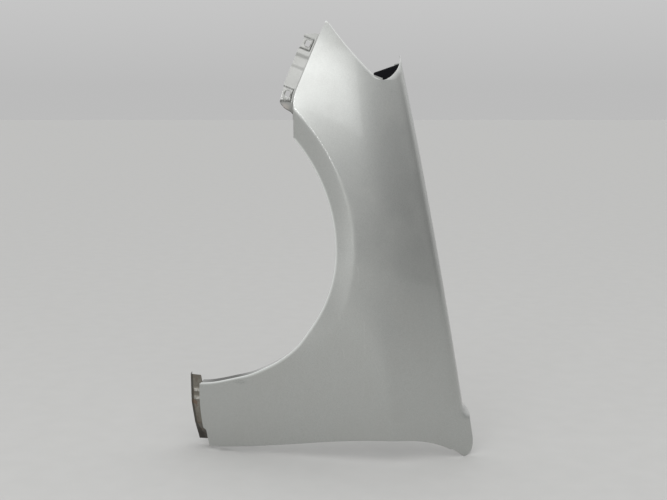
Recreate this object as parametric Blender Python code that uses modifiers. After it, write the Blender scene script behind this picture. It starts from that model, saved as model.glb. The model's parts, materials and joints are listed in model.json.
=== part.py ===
# Left front fender of a small car, standing on its door edge with its outer face to -Y.
# +X is up on the car (towards the bonnet), +Y is inboard and +Z is forward (towards the headlight).
# The panel is one steel stamping. A spot-welded plate carries its sill end, and a foam block
# closes the front of the bonnet channel. Sizes are in metres.
import math

import bmesh
import bpy
import numpy as np
from mathutils import Matrix, Vector

# Steel and clearances
PANEL_GAUGE = 0.0008
BRACKET_GAUGE = 0.0012
SEAT_GAP = 0.0003

# Wheel arch in side view: a straight run from the sill, then a rear arc and a flatter front arc
# that share their crown, the point nearest the bonnet
ARCH_CROWN_X = 0.012
ARCH_CENTRE_Z = 0.552
ARCH_RADIUS = 0.341
ARCH_FRONT_RADIUS = 0.436
ARCH_LINE_ANGLE = math.radians(-73)
ARCH_END_RISE = 0.286
SILL_END_X = -0.343
SILL_END_BULGE = 0.008

# Flare band round the arch, which falls inboard towards the lip
FLARE_WIDTH = 0.048
FLARE_SLOPE_FRONT = 0.34
FLARE_SLOPE_REAR = 0.17
FLARE_ROUNDING = 0.008
FLARE_FADE_FROM = math.radians(-52)
FLARE_FADE_TO = math.radians(-22)
FLARE_CHANGE_OVER = math.radians(45)

# Bumper edge, tip and headlight opening in side view
BUMPER_STRAIGHT = 0.085
BUMPER_RADIUS = 0.080
BUMPER_LEAN = math.radians(22.7)
NOSE_RISE = 0.292
TIP_WIDTH = 0.005
TIP_CROWN = 0.001
TIP_LEAN = math.radians(55)
HEADLIGHT_LEAN = math.radians(45)
HEADLIGHT_RADIUS = 0.030
NOTCH_INSET = 0.060
NOTCH_DROP = 0.148

# Prong of the bonnet edge that runs on past the headlight opening
PRONG_RISE = 0.060
PRONG_FLANK = 0.078
PRONG_FLANK_POWER = 0.6

# Door edge, tail and ear
DOOR_CORNER_X = -0.324
DOOR_CORNER_Z = 0.014
DOOR_SLOPE = math.radians(7)
DOOR_CREST_X = 0.146
DOOR_CREST_Z = 0.064
TAIL_REACH = 0.012
TAIL_SLOPE = math.radians(40)
EAR_REACH = 0.052
EAR_HEIGHT = 0.048
EAR_ANGLE = math.radians(44)
EAR_TURN_FROM = 0.092
EAR_TURN_OVER = 0.050

# Shoulder: the line along which the side starts to roll over to the bonnet
SHOULDER_X = 0.369
SHOULDER_LEAN = 0.161
SHOULDER_BOW = 0.0204
SHOULDER_Y = -0.0525
SHOULDER_ANGLE = math.radians(24)
SHOULDER_ROLL = 0.062
TOP_LAND = 0.020

# Crown of the side, and the character line that fades out as it leaves the door edge
SIDE_CROWN_RADIUS = 1.7
CREASE_ANGLE = math.radians(24)
CREASE_OFFSET = 0.175
CREASE_HALF_SHARP = 0.016
CREASE_HALF_SOFT = 0.190
CREASE_FADE_FROM = 0.177
CREASE_FADE_OVER = 0.330

# Inboard sweep of the sections towards both ends
PLAN_DATUM_Z = 0.407
PLAN_FRONT_RADIUS = 3.2
PLAN_REAR_RADIUS = 6.0
NOSE_FROM_Z = 0.807
NOSE_LENGTH = 0.316
NOSE_SWEEP = 0.025

# Folded edges
FOLD_RADIUS = 0.0022
ARCH_LIP = 0.020
ARCH_LIP_RISE_SILL = 0.010
ARCH_LIP_RISE_FRONT = 0.002
DOOR_RETURN = 0.022
HEADLIGHT_RETURN = 0.009
CHANNEL_DEPTH = 0.017
LEDGE_WIDTH = 0.026
CHANNEL_FROM_Z = 0.160

# Bumper flange, set back from the skin, with two square clip pads and a recess between them
FLANGE_SETBACK = 0.008
FLANGE_WIDTH = 0.037
FLANGE_START_RISE = 0.036
FLANGE_TUCK_LENGTH = 0.034
FLANGE_TUCK = 0.020
FLANGE_END_DROP = 0.037
PAD_WIDTH = 0.033
PAD_MARGIN = 0.002
PAD_RAMP = 0.003
PAD_RAISE = 0.0025
LOWER_PAD_RISE = 0.106
LOWER_PAD_SIZE = 0.032
UPPER_PAD_DROP = 0.0625
UPPER_PAD_SIZE = 0.034
RECESS_ABOVE_PAD = 0.039
RECESS_BELOW_PAD = 0.003
RECESS_RAMP = 0.014
RECESS_DEPTH = 0.007
CLIP_HOLE_WIDTH = 0.012
CLIP_HOLE_HEIGHT = 0.015

# Bolt holes
BOLT_HOLE_RADIUS = 0.0045
LEDGE_HOLES = 4
LEDGE_FIRST_HOLE_Z = 0.250
LEDGE_HOLE_PITCH = 0.205
PRONG_HOLE_DROP = 0.032
DOOR_HOLES_X = (-0.264, 0.211)
CUTTER_DEPTH = 0.008

# Sill plate, welded behind the sill end of the panel, with a rim that bolts up under the sill
PLATE_TOP_RISE = 0.023
PLATE_BOTTOM_DROP = 0.002
PLATE_LAP = 0.030
PLATE_LAP_TOP_DROP = 0.026
PLATE_LAP_BOTTOM_RISE = 0.031
PLATE_OUTER_X = -0.375
PLATE_STEP = 0.004
PLATE_OVERLAP = 0.006
PLATE_TAPER_DROP = 0.071
PLATE_TAPER = 0.014
PLATE_RIM = 0.026
PLATE_FOLD = 0.003
PLATE_RIB_DROPS = (0.052, 0.032)
PLATE_RIB_WIDTH = 0.011
PLATE_RIB_HEIGHT = 0.0025
PLATE_FOOT_RISE = 0.056
PLATE_FOOT_LEAN = math.radians(28)
PLATE_HOLE_DROPS = (0.093, 0.005)

# Foam block in the front end of the bonnet channel
FOAM_REACH = 0.021
FOAM_FRONT_S = 0.026
FOAM_BELOW_NOTCH = 0.034
FOAM_RISE_LEFT = 0.019
FOAM_RISE_RIGHT = 0.044
FOAM_ROUNDING = 0.003
FOAM_ROLL_GAP = 0.0025

# Numerical steps
SECTION_SAMPLES = 140
CURVE_SAMPLES = 60
POSITION_STEPS = 8
NORMAL_STEP = 0.0005
EDGE_STEP = 0.010

# Mesh density, and how the columns of the mesh are spread
FOLD_STEPS = 3
HOLE_SIDES = 20
DOOR_COLUMNS = 24
DOOR_BEND = 0.6
CREASE_COLUMNS = (-1.0, -0.4, 0.4, 1.0)
EAR_COLUMNS = 6
EAR_NEAR_SHARE = 0.13
BONNET_COLUMNS = 18
CORNER_COLUMN_RISE = 0.4
NEAR_ROWS = (0.0, 0.018, 0.033, 0.048, 0.064)
MIDDLE_ROWS = 5
ROLL_ROWS = 5
FIXED_ROWS_SHARE = 0.85
PRONG_ROWS = 5
PRONG_ROW_POWER = 1.5
FLANGE_CELLS = 4
PLATE_LAP_POINTS = 3

# Places that follow from the sizes above
EDGE_S = SHOULDER_ROLL + TOP_LAND
ARCH_END_Z = ARCH_CENTRE_Z + ARCH_END_RISE
TIP_Z = ARCH_END_Z + NOSE_RISE
NOTCH_Z = TIP_Z - NOTCH_DROP
PRONG_Z = NOTCH_Z + PRONG_RISE
FLANGE_START_Z = ARCH_END_Z + FLANGE_START_RISE
FLANGE_TUCK_TO = FLANGE_START_Z + FLANGE_TUCK_LENGTH
FLANGE_END_Z = TIP_Z - FLANGE_END_DROP
LOWER_PAD_Z = ARCH_END_Z + LOWER_PAD_RISE
UPPER_PAD_Z = TIP_Z - UPPER_PAD_DROP
RECESS_FROM_Z = LOWER_PAD_Z + LOWER_PAD_SIZE / 2 + PAD_RAMP + RECESS_ABOVE_PAD
RECESS_TO_Z = UPPER_PAD_Z - UPPER_PAD_SIZE / 2 - PAD_RAMP - RECESS_BELOW_PAD
PRONG_HOLE_Z = PRONG_Z - PRONG_HOLE_DROP


def smooth_step(t):
    t = np.clip(t, 0.0, 1.0)
    return t * t * t * (t * (6 * t - 15) + 10)


def soft_ramp(t, rounding):
    """Zero below the corner, t above it, with a parabola over the rounding."""
    if t <= -rounding:
        return 0.0
    if t >= rounding:
        return t
    return (t + rounding) ** 2 / (4 * rounding)


# The skin surface: horizontal sections are integrated from their turning angle.
# s is measured along the section from the shoulder line, negative towards the arch.


def section_angle(s, z):
    soft = smooth_step((z - CREASE_FADE_FROM) / CREASE_FADE_OVER)
    crease_half = CREASE_HALF_SHARP + (CREASE_HALF_SOFT - CREASE_HALF_SHARP) * soft
    crease = smooth_step((-s - CREASE_OFFSET + crease_half) / (2 * crease_half))
    side = SHOULDER_ANGLE + s / SIDE_CROWN_RADIUS - CREASE_ANGLE * crease
    closed = smooth_step((z - EAR_TURN_FROM) / EAR_TURN_OVER)
    end_angle = EAR_ANGLE + (math.pi / 2 - EAR_ANGLE) * closed
    roll = SHOULDER_ANGLE + (end_angle - SHOULDER_ANGLE) * smooth_step(s / SHOULDER_ROLL)
    return np.where(s < 0, side, roll)


def section_run(s, z):
    """Advance in x and y along the section from the shoulder line to s."""
    samples = np.linspace(0.0, s, SECTION_SAMPLES)
    angle = section_angle(samples, z)
    step = s / (SECTION_SAMPLES - 1)
    run_x = step * (np.cos(angle).sum() - (math.cos(angle[0]) + math.cos(angle[-1])) / 2)
    run_y = step * (np.sin(angle).sum() - (math.sin(angle[0]) + math.sin(angle[-1])) / 2)
    return run_x, run_y


ROLL_REACH = section_run(SHOULDER_ROLL, PLAN_DATUM_Z)[0]


def limb_x(z):
    return SHOULDER_X - SHOULDER_LEAN * z - SHOULDER_BOW * z * z


def notch_x():
    """The bottom of the headlight opening, set in from the limb."""
    return limb_x(NOTCH_Z) - NOTCH_INSET


def foam_left_x():
    return notch_x() - FOAM_REACH


def plan_sweep(z):
    away = z - PLAN_DATUM_Z
    radius = PLAN_FRONT_RADIUS if away > 0 else PLAN_REAR_RADIUS
    nose = max(0.0, (z - NOSE_FROM_Z) / NOSE_LENGTH)
    return away * away / (2 * radius) + NOSE_SWEEP * nose ** 3


def arch_arc(z):
    """Centre x and radius of the arch arc that holds at height z."""
    radius = ARCH_RADIUS if z < ARCH_CENTRE_Z else ARCH_FRONT_RADIUS
    return ARCH_CROWN_X - radius, radius


def flare_depth(x, z):
    centre_x, radius = arch_arc(z)
    away = math.hypot(x - centre_x, z - ARCH_CENTRE_Z) - radius
    turn = math.atan2(z - ARCH_CENTRE_Z, x - centre_x)
    fade = smooth_step((turn - FLARE_FADE_FROM) / (FLARE_FADE_TO - FLARE_FADE_FROM))
    front = smooth_step(turn / FLARE_CHANGE_OVER + 0.5)
    slope = FLARE_SLOPE_REAR + (FLARE_SLOPE_FRONT - FLARE_SLOPE_REAR) * front
    return float(slope * fade) * soft_ramp(FLARE_WIDTH - away, FLARE_ROUNDING)


def skin_point(s, z):
    run_x, run_y = section_run(s, z)
    x = limb_x(z) - ROLL_REACH + run_x
    y = SHOULDER_Y + plan_sweep(z) + run_y + flare_depth(x, z)
    return Vector((x, y, z))


def section_position(x, z):
    """The s at which the section at height z reaches x, on the side or the start of the roll."""
    s = x - limb_x(z) + ROLL_REACH
    for _ in range(POSITION_STEPS):
        angle = float(section_angle(np.array(s), z))
        s += (x - limb_x(z) + ROLL_REACH - section_run(s, z)[0]) / math.cos(angle)
    return s


def inward_normal(s, z):
    across = skin_point(s + NORMAL_STEP, z) - skin_point(s - NORMAL_STEP, z)
    up = skin_point(s, z + NORMAL_STEP) - skin_point(s, z - NORMAL_STEP)
    return up.cross(across).normalized()


# Outline helpers: every outline is a list of side-view points, or of (s, z) points once laid flat.


def arc(centre, radius, start, end):
    angles = np.linspace(start, end, CURVE_SAMPLES)
    return [(centre[0] + radius * math.cos(a), centre[1] + radius * math.sin(a)) for a in angles]


def bezier(a, b, c, d):
    points = []
    for t in np.linspace(0.0, 1.0, CURVE_SAMPLES):
        u = 1 - t
        weights = (u ** 3, 3 * u * u * t, 3 * u * t * t, t ** 3)
        points.append(tuple(sum(w * p[i] for w, p in zip(weights, (a, b, c, d))) for i in (0, 1)))
    return points


def lay_flat(points):
    return [(section_position(x, z), z) for x, z in points]


def along(points, fractions):
    """Points at the given fractions of a polyline's length."""
    points = np.array(points)
    lengths = np.concatenate(([0.0], np.cumsum(np.hypot(*np.diff(points, axis=0).T))))
    at = np.array(fractions) * lengths[-1]
    return list(zip(np.interp(at, lengths, points[:, 0]), np.interp(at, lengths, points[:, 1])))


def even(count):
    return np.linspace(0.0, 1.0, count + 1)


# The outline itself


def sill_run():
    """Arch edge from the sill end to the start of the arc."""
    x = ARCH_CROWN_X - ARCH_RADIUS + ARCH_RADIUS * math.cos(ARCH_LINE_ANGLE)
    z = ARCH_CENTRE_Z + ARCH_RADIUS * math.sin(ARCH_LINE_ANGLE)
    slope = -1 / math.tan(ARCH_LINE_ANGLE)
    return [(SILL_END_X, z + slope * (SILL_END_X - x)), (x, z)]


def arch_edge():
    """The arch from the start of its rear arc to the bumper corner."""
    front_x, front_radius = arch_arc(ARCH_END_Z)
    rear = arc((ARCH_CROWN_X - ARCH_RADIUS, ARCH_CENTRE_Z), ARCH_RADIUS, ARCH_LINE_ANGLE, 0.0)
    end = math.asin((ARCH_END_Z - ARCH_CENTRE_Z) / front_radius)
    return rear + arc((front_x, ARCH_CENTRE_Z), front_radius, 0.0, end)[1:]


def bumper_x(z):
    start_x = arch_edge()[-1][0]
    away = max(0.0, z - ARCH_END_Z - BUMPER_STRAIGHT)
    turned = BUMPER_RADIUS * math.sin(BUMPER_LEAN)
    if away < turned:
        return start_x + BUMPER_RADIUS - math.sqrt(BUMPER_RADIUS ** 2 - away ** 2)
    curved = start_x + BUMPER_RADIUS * (1 - math.cos(BUMPER_LEAN))
    return curved + (away - turned) * math.tan(BUMPER_LEAN)


def pad_levels(centre, size):
    """Column heights at the rim and the middle of a clip pad."""
    half = size / 2
    return [centre - half - PAD_RAMP, centre - half, centre, centre + half, centre + half + PAD_RAMP]


def bumper_levels():
    """Heights of the columns that start on the bumper edge, up to the headlight opening."""
    low = [FLANGE_START_Z, (FLANGE_START_Z + FLANGE_TUCK_TO) / 2, FLANGE_TUCK_TO]
    low += pad_levels(LOWER_PAD_Z, LOWER_PAD_SIZE)
    return low + [(low[-1] + RECESS_FROM_Z) / 2, RECESS_FROM_Z]


def nose_levels():
    ramp = min(RECESS_RAMP, (RECESS_TO_Z - RECESS_FROM_Z) / 3)
    high = [RECESS_FROM_Z + ramp, RECESS_TO_Z - ramp, RECESS_TO_Z]
    return high + pad_levels(UPPER_PAD_Z, UPPER_PAD_SIZE) + [FLANGE_END_Z, TIP_Z]


def headlight_edge():
    """The opening's edge from the bottom of the notch to the tip."""
    centre = (notch_x(), NOTCH_Z + HEADLIGHT_RADIUS)
    start = -math.pi / 2
    curve = arc(centre, HEADLIGHT_RADIUS, start, start - HEADLIGHT_LEAN)
    x, z = curve[-1]
    tip = (bumper_x(TIP_Z) + TIP_WIDTH, TIP_Z)
    rise = (TIP_Z - z) / 3
    lower = (x - rise / math.tan(HEADLIGHT_LEAN), z + rise)
    upper = (tip[0] + rise / math.tan(TIP_LEAN), TIP_Z - rise)
    return curve + bezier((x, z), lower, upper, tip)[1:]


def door_edge():
    """The door edge from the sill corner over its crest to the tail tip."""
    tail = skin_point(TAIL_REACH, 0.0)
    crest = (DOOR_CREST_X, DOOR_CREST_Z)
    reach = (DOOR_CREST_X - DOOR_CORNER_X) / 3
    fall = (tail.x - DOOR_CREST_X) / 3
    rise = (DOOR_CORNER_X + reach, DOOR_CORNER_Z + reach * math.tan(DOOR_SLOPE))
    drop = (tail.x - fall, fall * math.tan(TAIL_SLOPE))
    first = bezier((DOOR_CORNER_X, DOOR_CORNER_Z), rise, (DOOR_CREST_X - reach, DOOR_CREST_Z), crest)
    second = bezier(crest, (DOOR_CREST_X + fall, DOOR_CREST_Z), drop, (tail.x, 0.0))
    return first + second[1:]


def bonnet_edge_s(z):
    """Free edge of the shoulder: the ear at the tail, then the edge of the top land."""
    closed = smooth_step((z - EAR_TURN_FROM) / EAR_TURN_OVER)
    return EAR_REACH + (EDGE_S - EAR_REACH) * float(closed)


def ear_edge():
    """Laid-flat edge from the tail tip round the ear to where the bonnet channel starts."""
    centre = (TAIL_REACH, EAR_HEIGHT)
    reach = EAR_REACH - TAIL_REACH
    turn = np.linspace(-math.pi / 2, 0.0, CURVE_SAMPLES)
    points = [(centre[0] + reach * math.cos(a), centre[1] + EAR_HEIGHT * math.sin(a)) for a in turn]
    heights = np.linspace(EAR_HEIGHT, CHANNEL_FROM_Z, CURVE_SAMPLES)[1:]
    return points + [(bonnet_edge_s(z), z) for z in heights]


# The panel mesh


def row_fractions(length):
    """Places of the rows across a column that runs from the arch side to the bonnet side."""
    beyond_notch = EDGE_S - section_position(notch_x(), NOTCH_Z)
    roll = [TOP_LAND + SHOULDER_ROLL * k / ROLL_ROWS for k in range(ROLL_ROWS, -1, -1)]
    shrink = min(1.0, FIXED_ROWS_SHARE * length / (NEAR_ROWS[-1] + beyond_notch))
    near = [row * shrink / length for row in NEAR_ROWS]
    far = [1 - row * shrink / length for row in [beyond_notch] + roll + [0.0]]
    middle = [near[-1] + (far[0] - near[-1]) * k / MIDDLE_ROWS for k in range(1, MIDDLE_ROWS)]
    return near + middle + far


NOTCH_ROW = len(NEAR_ROWS) + MIDDLE_ROWS - 1


def straight_column(near, far):
    length = math.dist(near, far)
    return [(near[0] + (far[0] - near[0]) * f, near[1] + (far[1] - near[1]) * f)
            for f in row_fractions(length)]


def door_levels(flat_edge):
    """Places of the door columns, with a few close together on the character line."""
    crease = [-CREASE_OFFSET + CREASE_HALF_SHARP * k for k in CREASE_COLUMNS]
    start, end = flat_edge[0][0], flat_edge[-1][0]
    levels = [start + (end - start) * t for t in even(DOOR_COLUMNS - len(crease))]
    levels = [s for s in levels if abs(s + CREASE_OFFSET) > CREASE_HALF_SHARP * 1.5]
    return sorted(levels + crease)


def square_column(near, far, share):
    """A column that meets the door edge square, or nearly straight towards either end of it."""
    square = (far[0], far[1] + DOOR_BEND * (near[1] - far[1]))
    weight = float(smooth_step(2 * min(share, 1 - share)))
    bend = tuple((near[i] + far[i]) / 2 * (1 - weight) + square[i] * weight for i in (0, 1))
    column = []
    for f in row_fractions(math.dist(near, far)):
        weights = ((1 - f) ** 2, 2 * f * (1 - f), f * f)
        column.append(tuple(sum(w * p[i] for w, p in zip(weights, (near, bend, far))) for i in (0, 1)))
    return column


def panel_columns():
    """Laid-flat columns of the main skin, from the sill end to the level of the notch."""
    run = sill_run()
    curve = arch_edge()
    centre_x = ARCH_CROWN_X - ARCH_RADIUS
    lower_end = math.atan2(-ARCH_CENTRE_Z, skin_point(TAIL_REACH, 0.0).x - centre_x)
    split = int(np.argmin([abs(math.atan2(z - ARCH_CENTRE_Z, x - centre_x) - lower_end)
                           for x, z in curve]))
    flat_edge = lay_flat(door_edge())
    door = door_levels(flat_edge)
    far = [(s, float(np.interp(s, [p[0] for p in flat_edge], [p[1] for p in flat_edge]))) for s in door]
    shares = [(t + (s - door[0]) / (door[-1] - door[0])) / 2 for s, t in zip(door, even(len(door) - 1))]
    near = along(lay_flat(along(run, even(DOOR_COLUMNS)) + curve[1:split + 1]), shares)
    columns = [square_column(a, b, share) for a, b, share in zip(near, far, shares)]
    columns[0] = [(s - SILL_END_BULGE * 4 * f * (1 - f), z)
                  for (s, z), f in zip(columns[0], row_fractions(math.dist(near[0], far[0])))]

    ear_share = EAR_COLUMNS / (EAR_COLUMNS + BONNET_COLUMNS)
    steps = even(EAR_COLUMNS + BONNET_COLUMNS)[1:]
    near = along(lay_flat(curve[split:]), np.interp(steps, [0, ear_share, 1], [0, EAR_NEAR_SHARE, 1]))
    corner_far_z = ARCH_END_Z + CORNER_COLUMN_RISE * (NOTCH_Z - ARCH_END_Z)
    ear = along(ear_edge(), even(EAR_COLUMNS)[1:])
    bonnet = [(EDGE_S, CHANNEL_FROM_Z + (corner_far_z - CHANNEL_FROM_Z) * t)
              for t in even(BONNET_COLUMNS)[1:]]
    columns += [straight_column(a, b) for a, b in zip(near, ear + bonnet)]

    levels = bumper_levels()
    share = [(z - ARCH_END_Z) / (levels[-1] - ARCH_END_Z) for z in levels]
    for z, t in zip(levels, share):
        near_point = (section_position(bumper_x(z), z), z)
        columns.append(straight_column(near_point, (EDGE_S, corner_far_z + (NOTCH_Z - corner_far_z) * t)))
    # The last column ends level with the notch, so that its outer rows bound the opening
    last = columns[-1]
    notch_s = last[NOTCH_ROW][0]
    bumper_s, bumper_z = last[0]
    columns[-1] = [(s, bumper_z + (NOTCH_Z - bumper_z) * min(1.0, (s - bumper_s) / (notch_s - bumper_s)))
                   for s, _ in last]
    return columns, len(door) - 1


def nose_columns(shared):
    """Laid-flat columns from the notch level to the tip, which end on the headlight edge."""
    levels = nose_levels()
    first = np.array([math.dist(p, shared[0]) for p in shared[:NOTCH_ROW + 1]])
    first = first / first[-1]
    start_z = bumper_levels()[-1]
    share = [(z - start_z) / (TIP_Z - start_z) for z in levels]
    far = along(lay_flat(headlight_edge()), share)
    columns = []
    for z, t, end in zip(levels, share, far):
        start = (section_position(bumper_x(z), z), z)
        fractions = first + (even(NOTCH_ROW) - first) * t
        columns.append([(start[0] + (end[0] - start[0]) * f, start[1] + (end[1] - start[1]) * f)
                        for f in fractions])
    columns[-1] = [(s, z + TIP_CROWN * 4 * f * (1 - f)) for (s, z), f in zip(columns[-1], even(NOTCH_ROW))]
    return columns


def prong_rows(shared):
    """Laid-flat rows of the prong beyond the notch, over the outer rows of the last column."""
    base = [s for s, _ in shared[NOTCH_ROW:]]
    rows = []
    for t in even(PRONG_ROWS)[1:] ** PRONG_ROW_POWER:
        left = base[0] + PRONG_FLANK * t ** PRONG_FLANK_POWER
        z = NOTCH_Z + (PRONG_Z - NOTCH_Z) * t
        rows.append([(left + (EDGE_S - left) * (s - base[0]) / (EDGE_S - base[0]), z) for s in base])
    return rows


def bridge(bm, first, second, flip=False):
    """Quads between two equally long chains of vertices."""
    for i in range(len(first) - 1):
        corners = (first[i], second[i], second[i + 1], first[i + 1])
        bm.faces.new(tuple(reversed(corners)) if flip else corners)


def bend_in():
    """Offsets round the bend that turns a sheet from running outwards to running inboard."""
    turns = [math.pi / 2 * k / FOLD_STEPS for k in range(1, FOLD_STEPS + 1)]
    return [(FOLD_RADIUS * math.sin(t), FOLD_RADIUS * (1 - math.cos(t))) for t in turns]


def bend_back(depth):
    """Offsets round the bend at a wall's bottom, from running inboard to running outwards."""
    turns = [math.pi / 2 * k / FOLD_STEPS for k in range(FOLD_STEPS + 1)]
    return [(FOLD_RADIUS * (2 - math.cos(t)), depth - FOLD_RADIUS * (1 - math.sin(t))) for t in turns]


def fold_profile(depth, rise=0.0):
    """A flange folded inboard: offsets outwards and inboard from the panel's edge."""
    return bend_in() + [(FOLD_RADIUS + rise / 2, (FOLD_RADIUS + depth) / 2), (FOLD_RADIUS + rise, depth)]


def channel_profile():
    """The bonnet channel: down the wall from the top land, then out along the ledge."""
    ledge = [(FOLD_RADIUS * 2 + LEDGE_WIDTH * k / 2, CHANNEL_DEPTH) for k in (1, 2)]
    return bend_in() + bend_back(CHANNEL_DEPTH) + ledge


def edge_frames(rail, inner):
    """Position, outward direction in the surface and inward normal at each point of an edge."""
    points = [skin_point(s, z) for s, z in rail]
    frames = []
    for i, (s, z) in enumerate(rail):
        tangent = points[min(i + 1, len(rail) - 1)] - points[max(i - 1, 0)]
        inboard = inward_normal(s, z)
        outward = tangent.cross(inboard).normalized()
        if outward.dot(points[i] - skin_point(*inner[i])) < 0:
            outward.negate()
        frames.append((points[i], outward, inboard))
    return frames


def add_flange(bm, edge_verts, frames, profiles, flip):
    chains = [edge_verts]
    for k in range(len(profiles[0])):
        chain = []
        for (point, outward, inboard), profile in zip(frames, profiles):
            out, depth = profile[k]
            chain.append(bm.verts.new(point + outward * out + inboard * depth))
        chains.append(chain)
    for first, second in zip(chains, chains[1:]):
        bridge(bm, first, second, flip)


def pad_at(z):
    """Share of the way up a pad's ramp at height z, and whether the pad lies there at all."""
    for centre, size in ((LOWER_PAD_Z, LOWER_PAD_SIZE), (UPPER_PAD_Z, UPPER_PAD_SIZE)):
        past = abs(z - centre) - size / 2
        if past < PAD_RAMP + 1e-6:
            return 1.0 - max(0.0, past) / PAD_RAMP
    return None


def flange_profile(z):
    """Section of the bumper flange at height z: joggle, margin, pad and free edge."""
    pad = pad_at(z)
    wide = PAD_WIDTH if pad is not None else FLANGE_WIDTH
    tuck = max(0.0, (FLANGE_TUCK_TO - z) / (FLANGE_TUCK_TO - FLANGE_START_Z))
    start = FOLD_RADIUS * 2
    width = start + PAD_MARGIN + (wide - start - PAD_MARGIN) * (1 - tuck)
    ramp = min(RECESS_RAMP, (RECESS_TO_Z - RECESS_FROM_Z) / 3)
    sunk = max(0.0, min(ramp, z - RECESS_FROM_Z, RECESS_TO_Z - z)) / ramp
    depth = FLANGE_SETBACK + RECESS_DEPTH * sunk + FLANGE_TUCK * tuck
    raised = depth - PAD_RAISE * (pad or 0.0)
    if pad is not None:
        inner = start + PAD_MARGIN
        across = [inner, inner + PAD_RAMP, width / 2 + PAD_MARGIN, width]
    else:
        across = [start + (width - start) * k / FLANGE_CELLS for k in range(1, FLANGE_CELLS + 1)]
    strip = [(across[0], depth)] + [(out, raised) for out in across[1:]]
    return bend_in() + bend_back(depth) + strip


def make_material(name, colour, roughness, metallic):
    material = bpy.data.materials.new(name)
    material.use_nodes = True
    shader = material.node_tree.nodes["Principled BSDF"]
    shader.inputs["Base Color"].default_value = (*colour, 1.0)
    shader.inputs["Roughness"].default_value = roughness
    shader.inputs["Metallic"].default_value = metallic
    return material


def face_outwards(bm):
    """Turn an open sheet so that its faces look away from the car, towards -Y."""
    bmesh.ops.recalc_face_normals(bm, faces=bm.faces)
    bm.normal_update()
    if sum(face.normal.y * face.calc_area() for face in bm.faces) > 0:
        bmesh.ops.reverse_faces(bm, faces=bm.faces)


def mesh_object(name, bm, collection, material):
    mesh = bpy.data.meshes.new(name)
    bm.to_mesh(mesh)
    bm.free()
    mesh.shade_smooth()
    thing = bpy.data.objects.new(name, mesh)
    collection.objects.link(thing)
    mesh.materials.append(material)
    return thing


def panel_sheet():
    """The outer surface of the panel with all its folds, as an open mesh."""
    bm = bmesh.new()
    columns, door_count = panel_columns()
    nose = nose_columns(columns[-1])
    prong = prong_rows(columns[-1])
    grid = [[bm.verts.new(skin_point(s, z)) for s, z in column] for column in columns]
    for first, second in zip(grid, grid[1:]):
        bridge(bm, first, second)
    nose_grid = [[bm.verts.new(skin_point(s, z)) for s, z in column] for column in nose]
    for first, second in zip([grid[-1][:NOTCH_ROW + 1]] + nose_grid, nose_grid):
        bridge(bm, first, second)
    prong_grid = [[bm.verts.new(skin_point(s, z)) for s, z in row] for row in prong]
    for first, second in zip([grid[-1][NOTCH_ROW:]] + prong_grid, prong_grid):
        bridge(bm, first, second)

    corner = door_count + EAR_COLUMNS + BONNET_COLUMNS
    arch_rail = [column[0] for column in columns[1:corner]]
    arch_inner = [column[1] for column in columns[1:corner]]
    profiles = []
    for _, z in arch_rail:
        front = float(smooth_step((z - columns[0][0][1]) / ARCH_RADIUS))
        rise = ARCH_LIP_RISE_SILL + (ARCH_LIP_RISE_FRONT - ARCH_LIP_RISE_SILL) * front
        profiles.append(fold_profile(ARCH_LIP, rise))
    add_flange(bm, [g[0] for g in grid[1:corner]], edge_frames(arch_rail, arch_inner), profiles, True)

    door_rail = [column[-1] for column in columns[1:door_count - 1]]
    door_inner = [column[-2] for column in columns[1:door_count - 1]]
    profiles = [fold_profile(DOOR_RETURN)] * len(door_rail)
    add_flange(bm, [g[-1] for g in grid[1:door_count - 1]], edge_frames(door_rail, door_inner),
               profiles, False)

    start = door_count + EAR_COLUMNS
    bonnet_rail = [column[-1] for column in columns[start:]] + [row[-1] for row in prong[:-1]]
    bonnet_inner = [column[-2] for column in columns[start:]] + [row[-2] for row in prong[:-1]]
    verts = [g[-1] for g in grid[start:]] + [row[-1] for row in prong_grid[:-1]]
    profiles = [channel_profile()] * len(bonnet_rail)
    add_flange(bm, verts, edge_frames(bonnet_rail, bonnet_inner), profiles, False)

    bumper = columns[corner + 1:] + nose[:-1]
    bumper_verts = [g[0] for g in grid[corner + 1:]] + [g[0] for g in nose_grid[:-1]]
    frames = edge_frames([c[0] for c in bumper], [c[1] for c in bumper])
    add_flange(bm, bumper_verts, frames, [flange_profile(c[0][1]) for c in bumper], True)

    head = nose[:-1]
    frames = edge_frames([c[-1] for c in head], [c[-2] for c in head])
    profiles = [fold_profile(HEADLIGHT_RETURN)] * len(head)
    add_flange(bm, [g[-1] for g in nose_grid[:-1]], frames, profiles, False)
    face_outwards(bm)
    return bm


def add_cutter(name, bm, place, cutters):
    mesh = bpy.data.meshes.new(name)
    bm.to_mesh(mesh)
    bm.free()
    thing = bpy.data.objects.new(name, mesh)
    thing.matrix_world = place
    thing.hide_render = True
    thing.display_type = 'WIRE'
    cutters.objects.link(thing)


def round_cutter(name, centre, axis, cutters):
    bm = bmesh.new()
    bmesh.ops.create_cone(bm, cap_ends=True, segments=HOLE_SIDES, radius1=BOLT_HOLE_RADIUS,
                          radius2=BOLT_HOLE_RADIUS, depth=CUTTER_DEPTH)
    place = Matrix.Translation(centre) @ axis.to_track_quat('Z', 'Y').to_matrix().to_4x4()
    add_cutter(name, bm, place, cutters)


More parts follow.
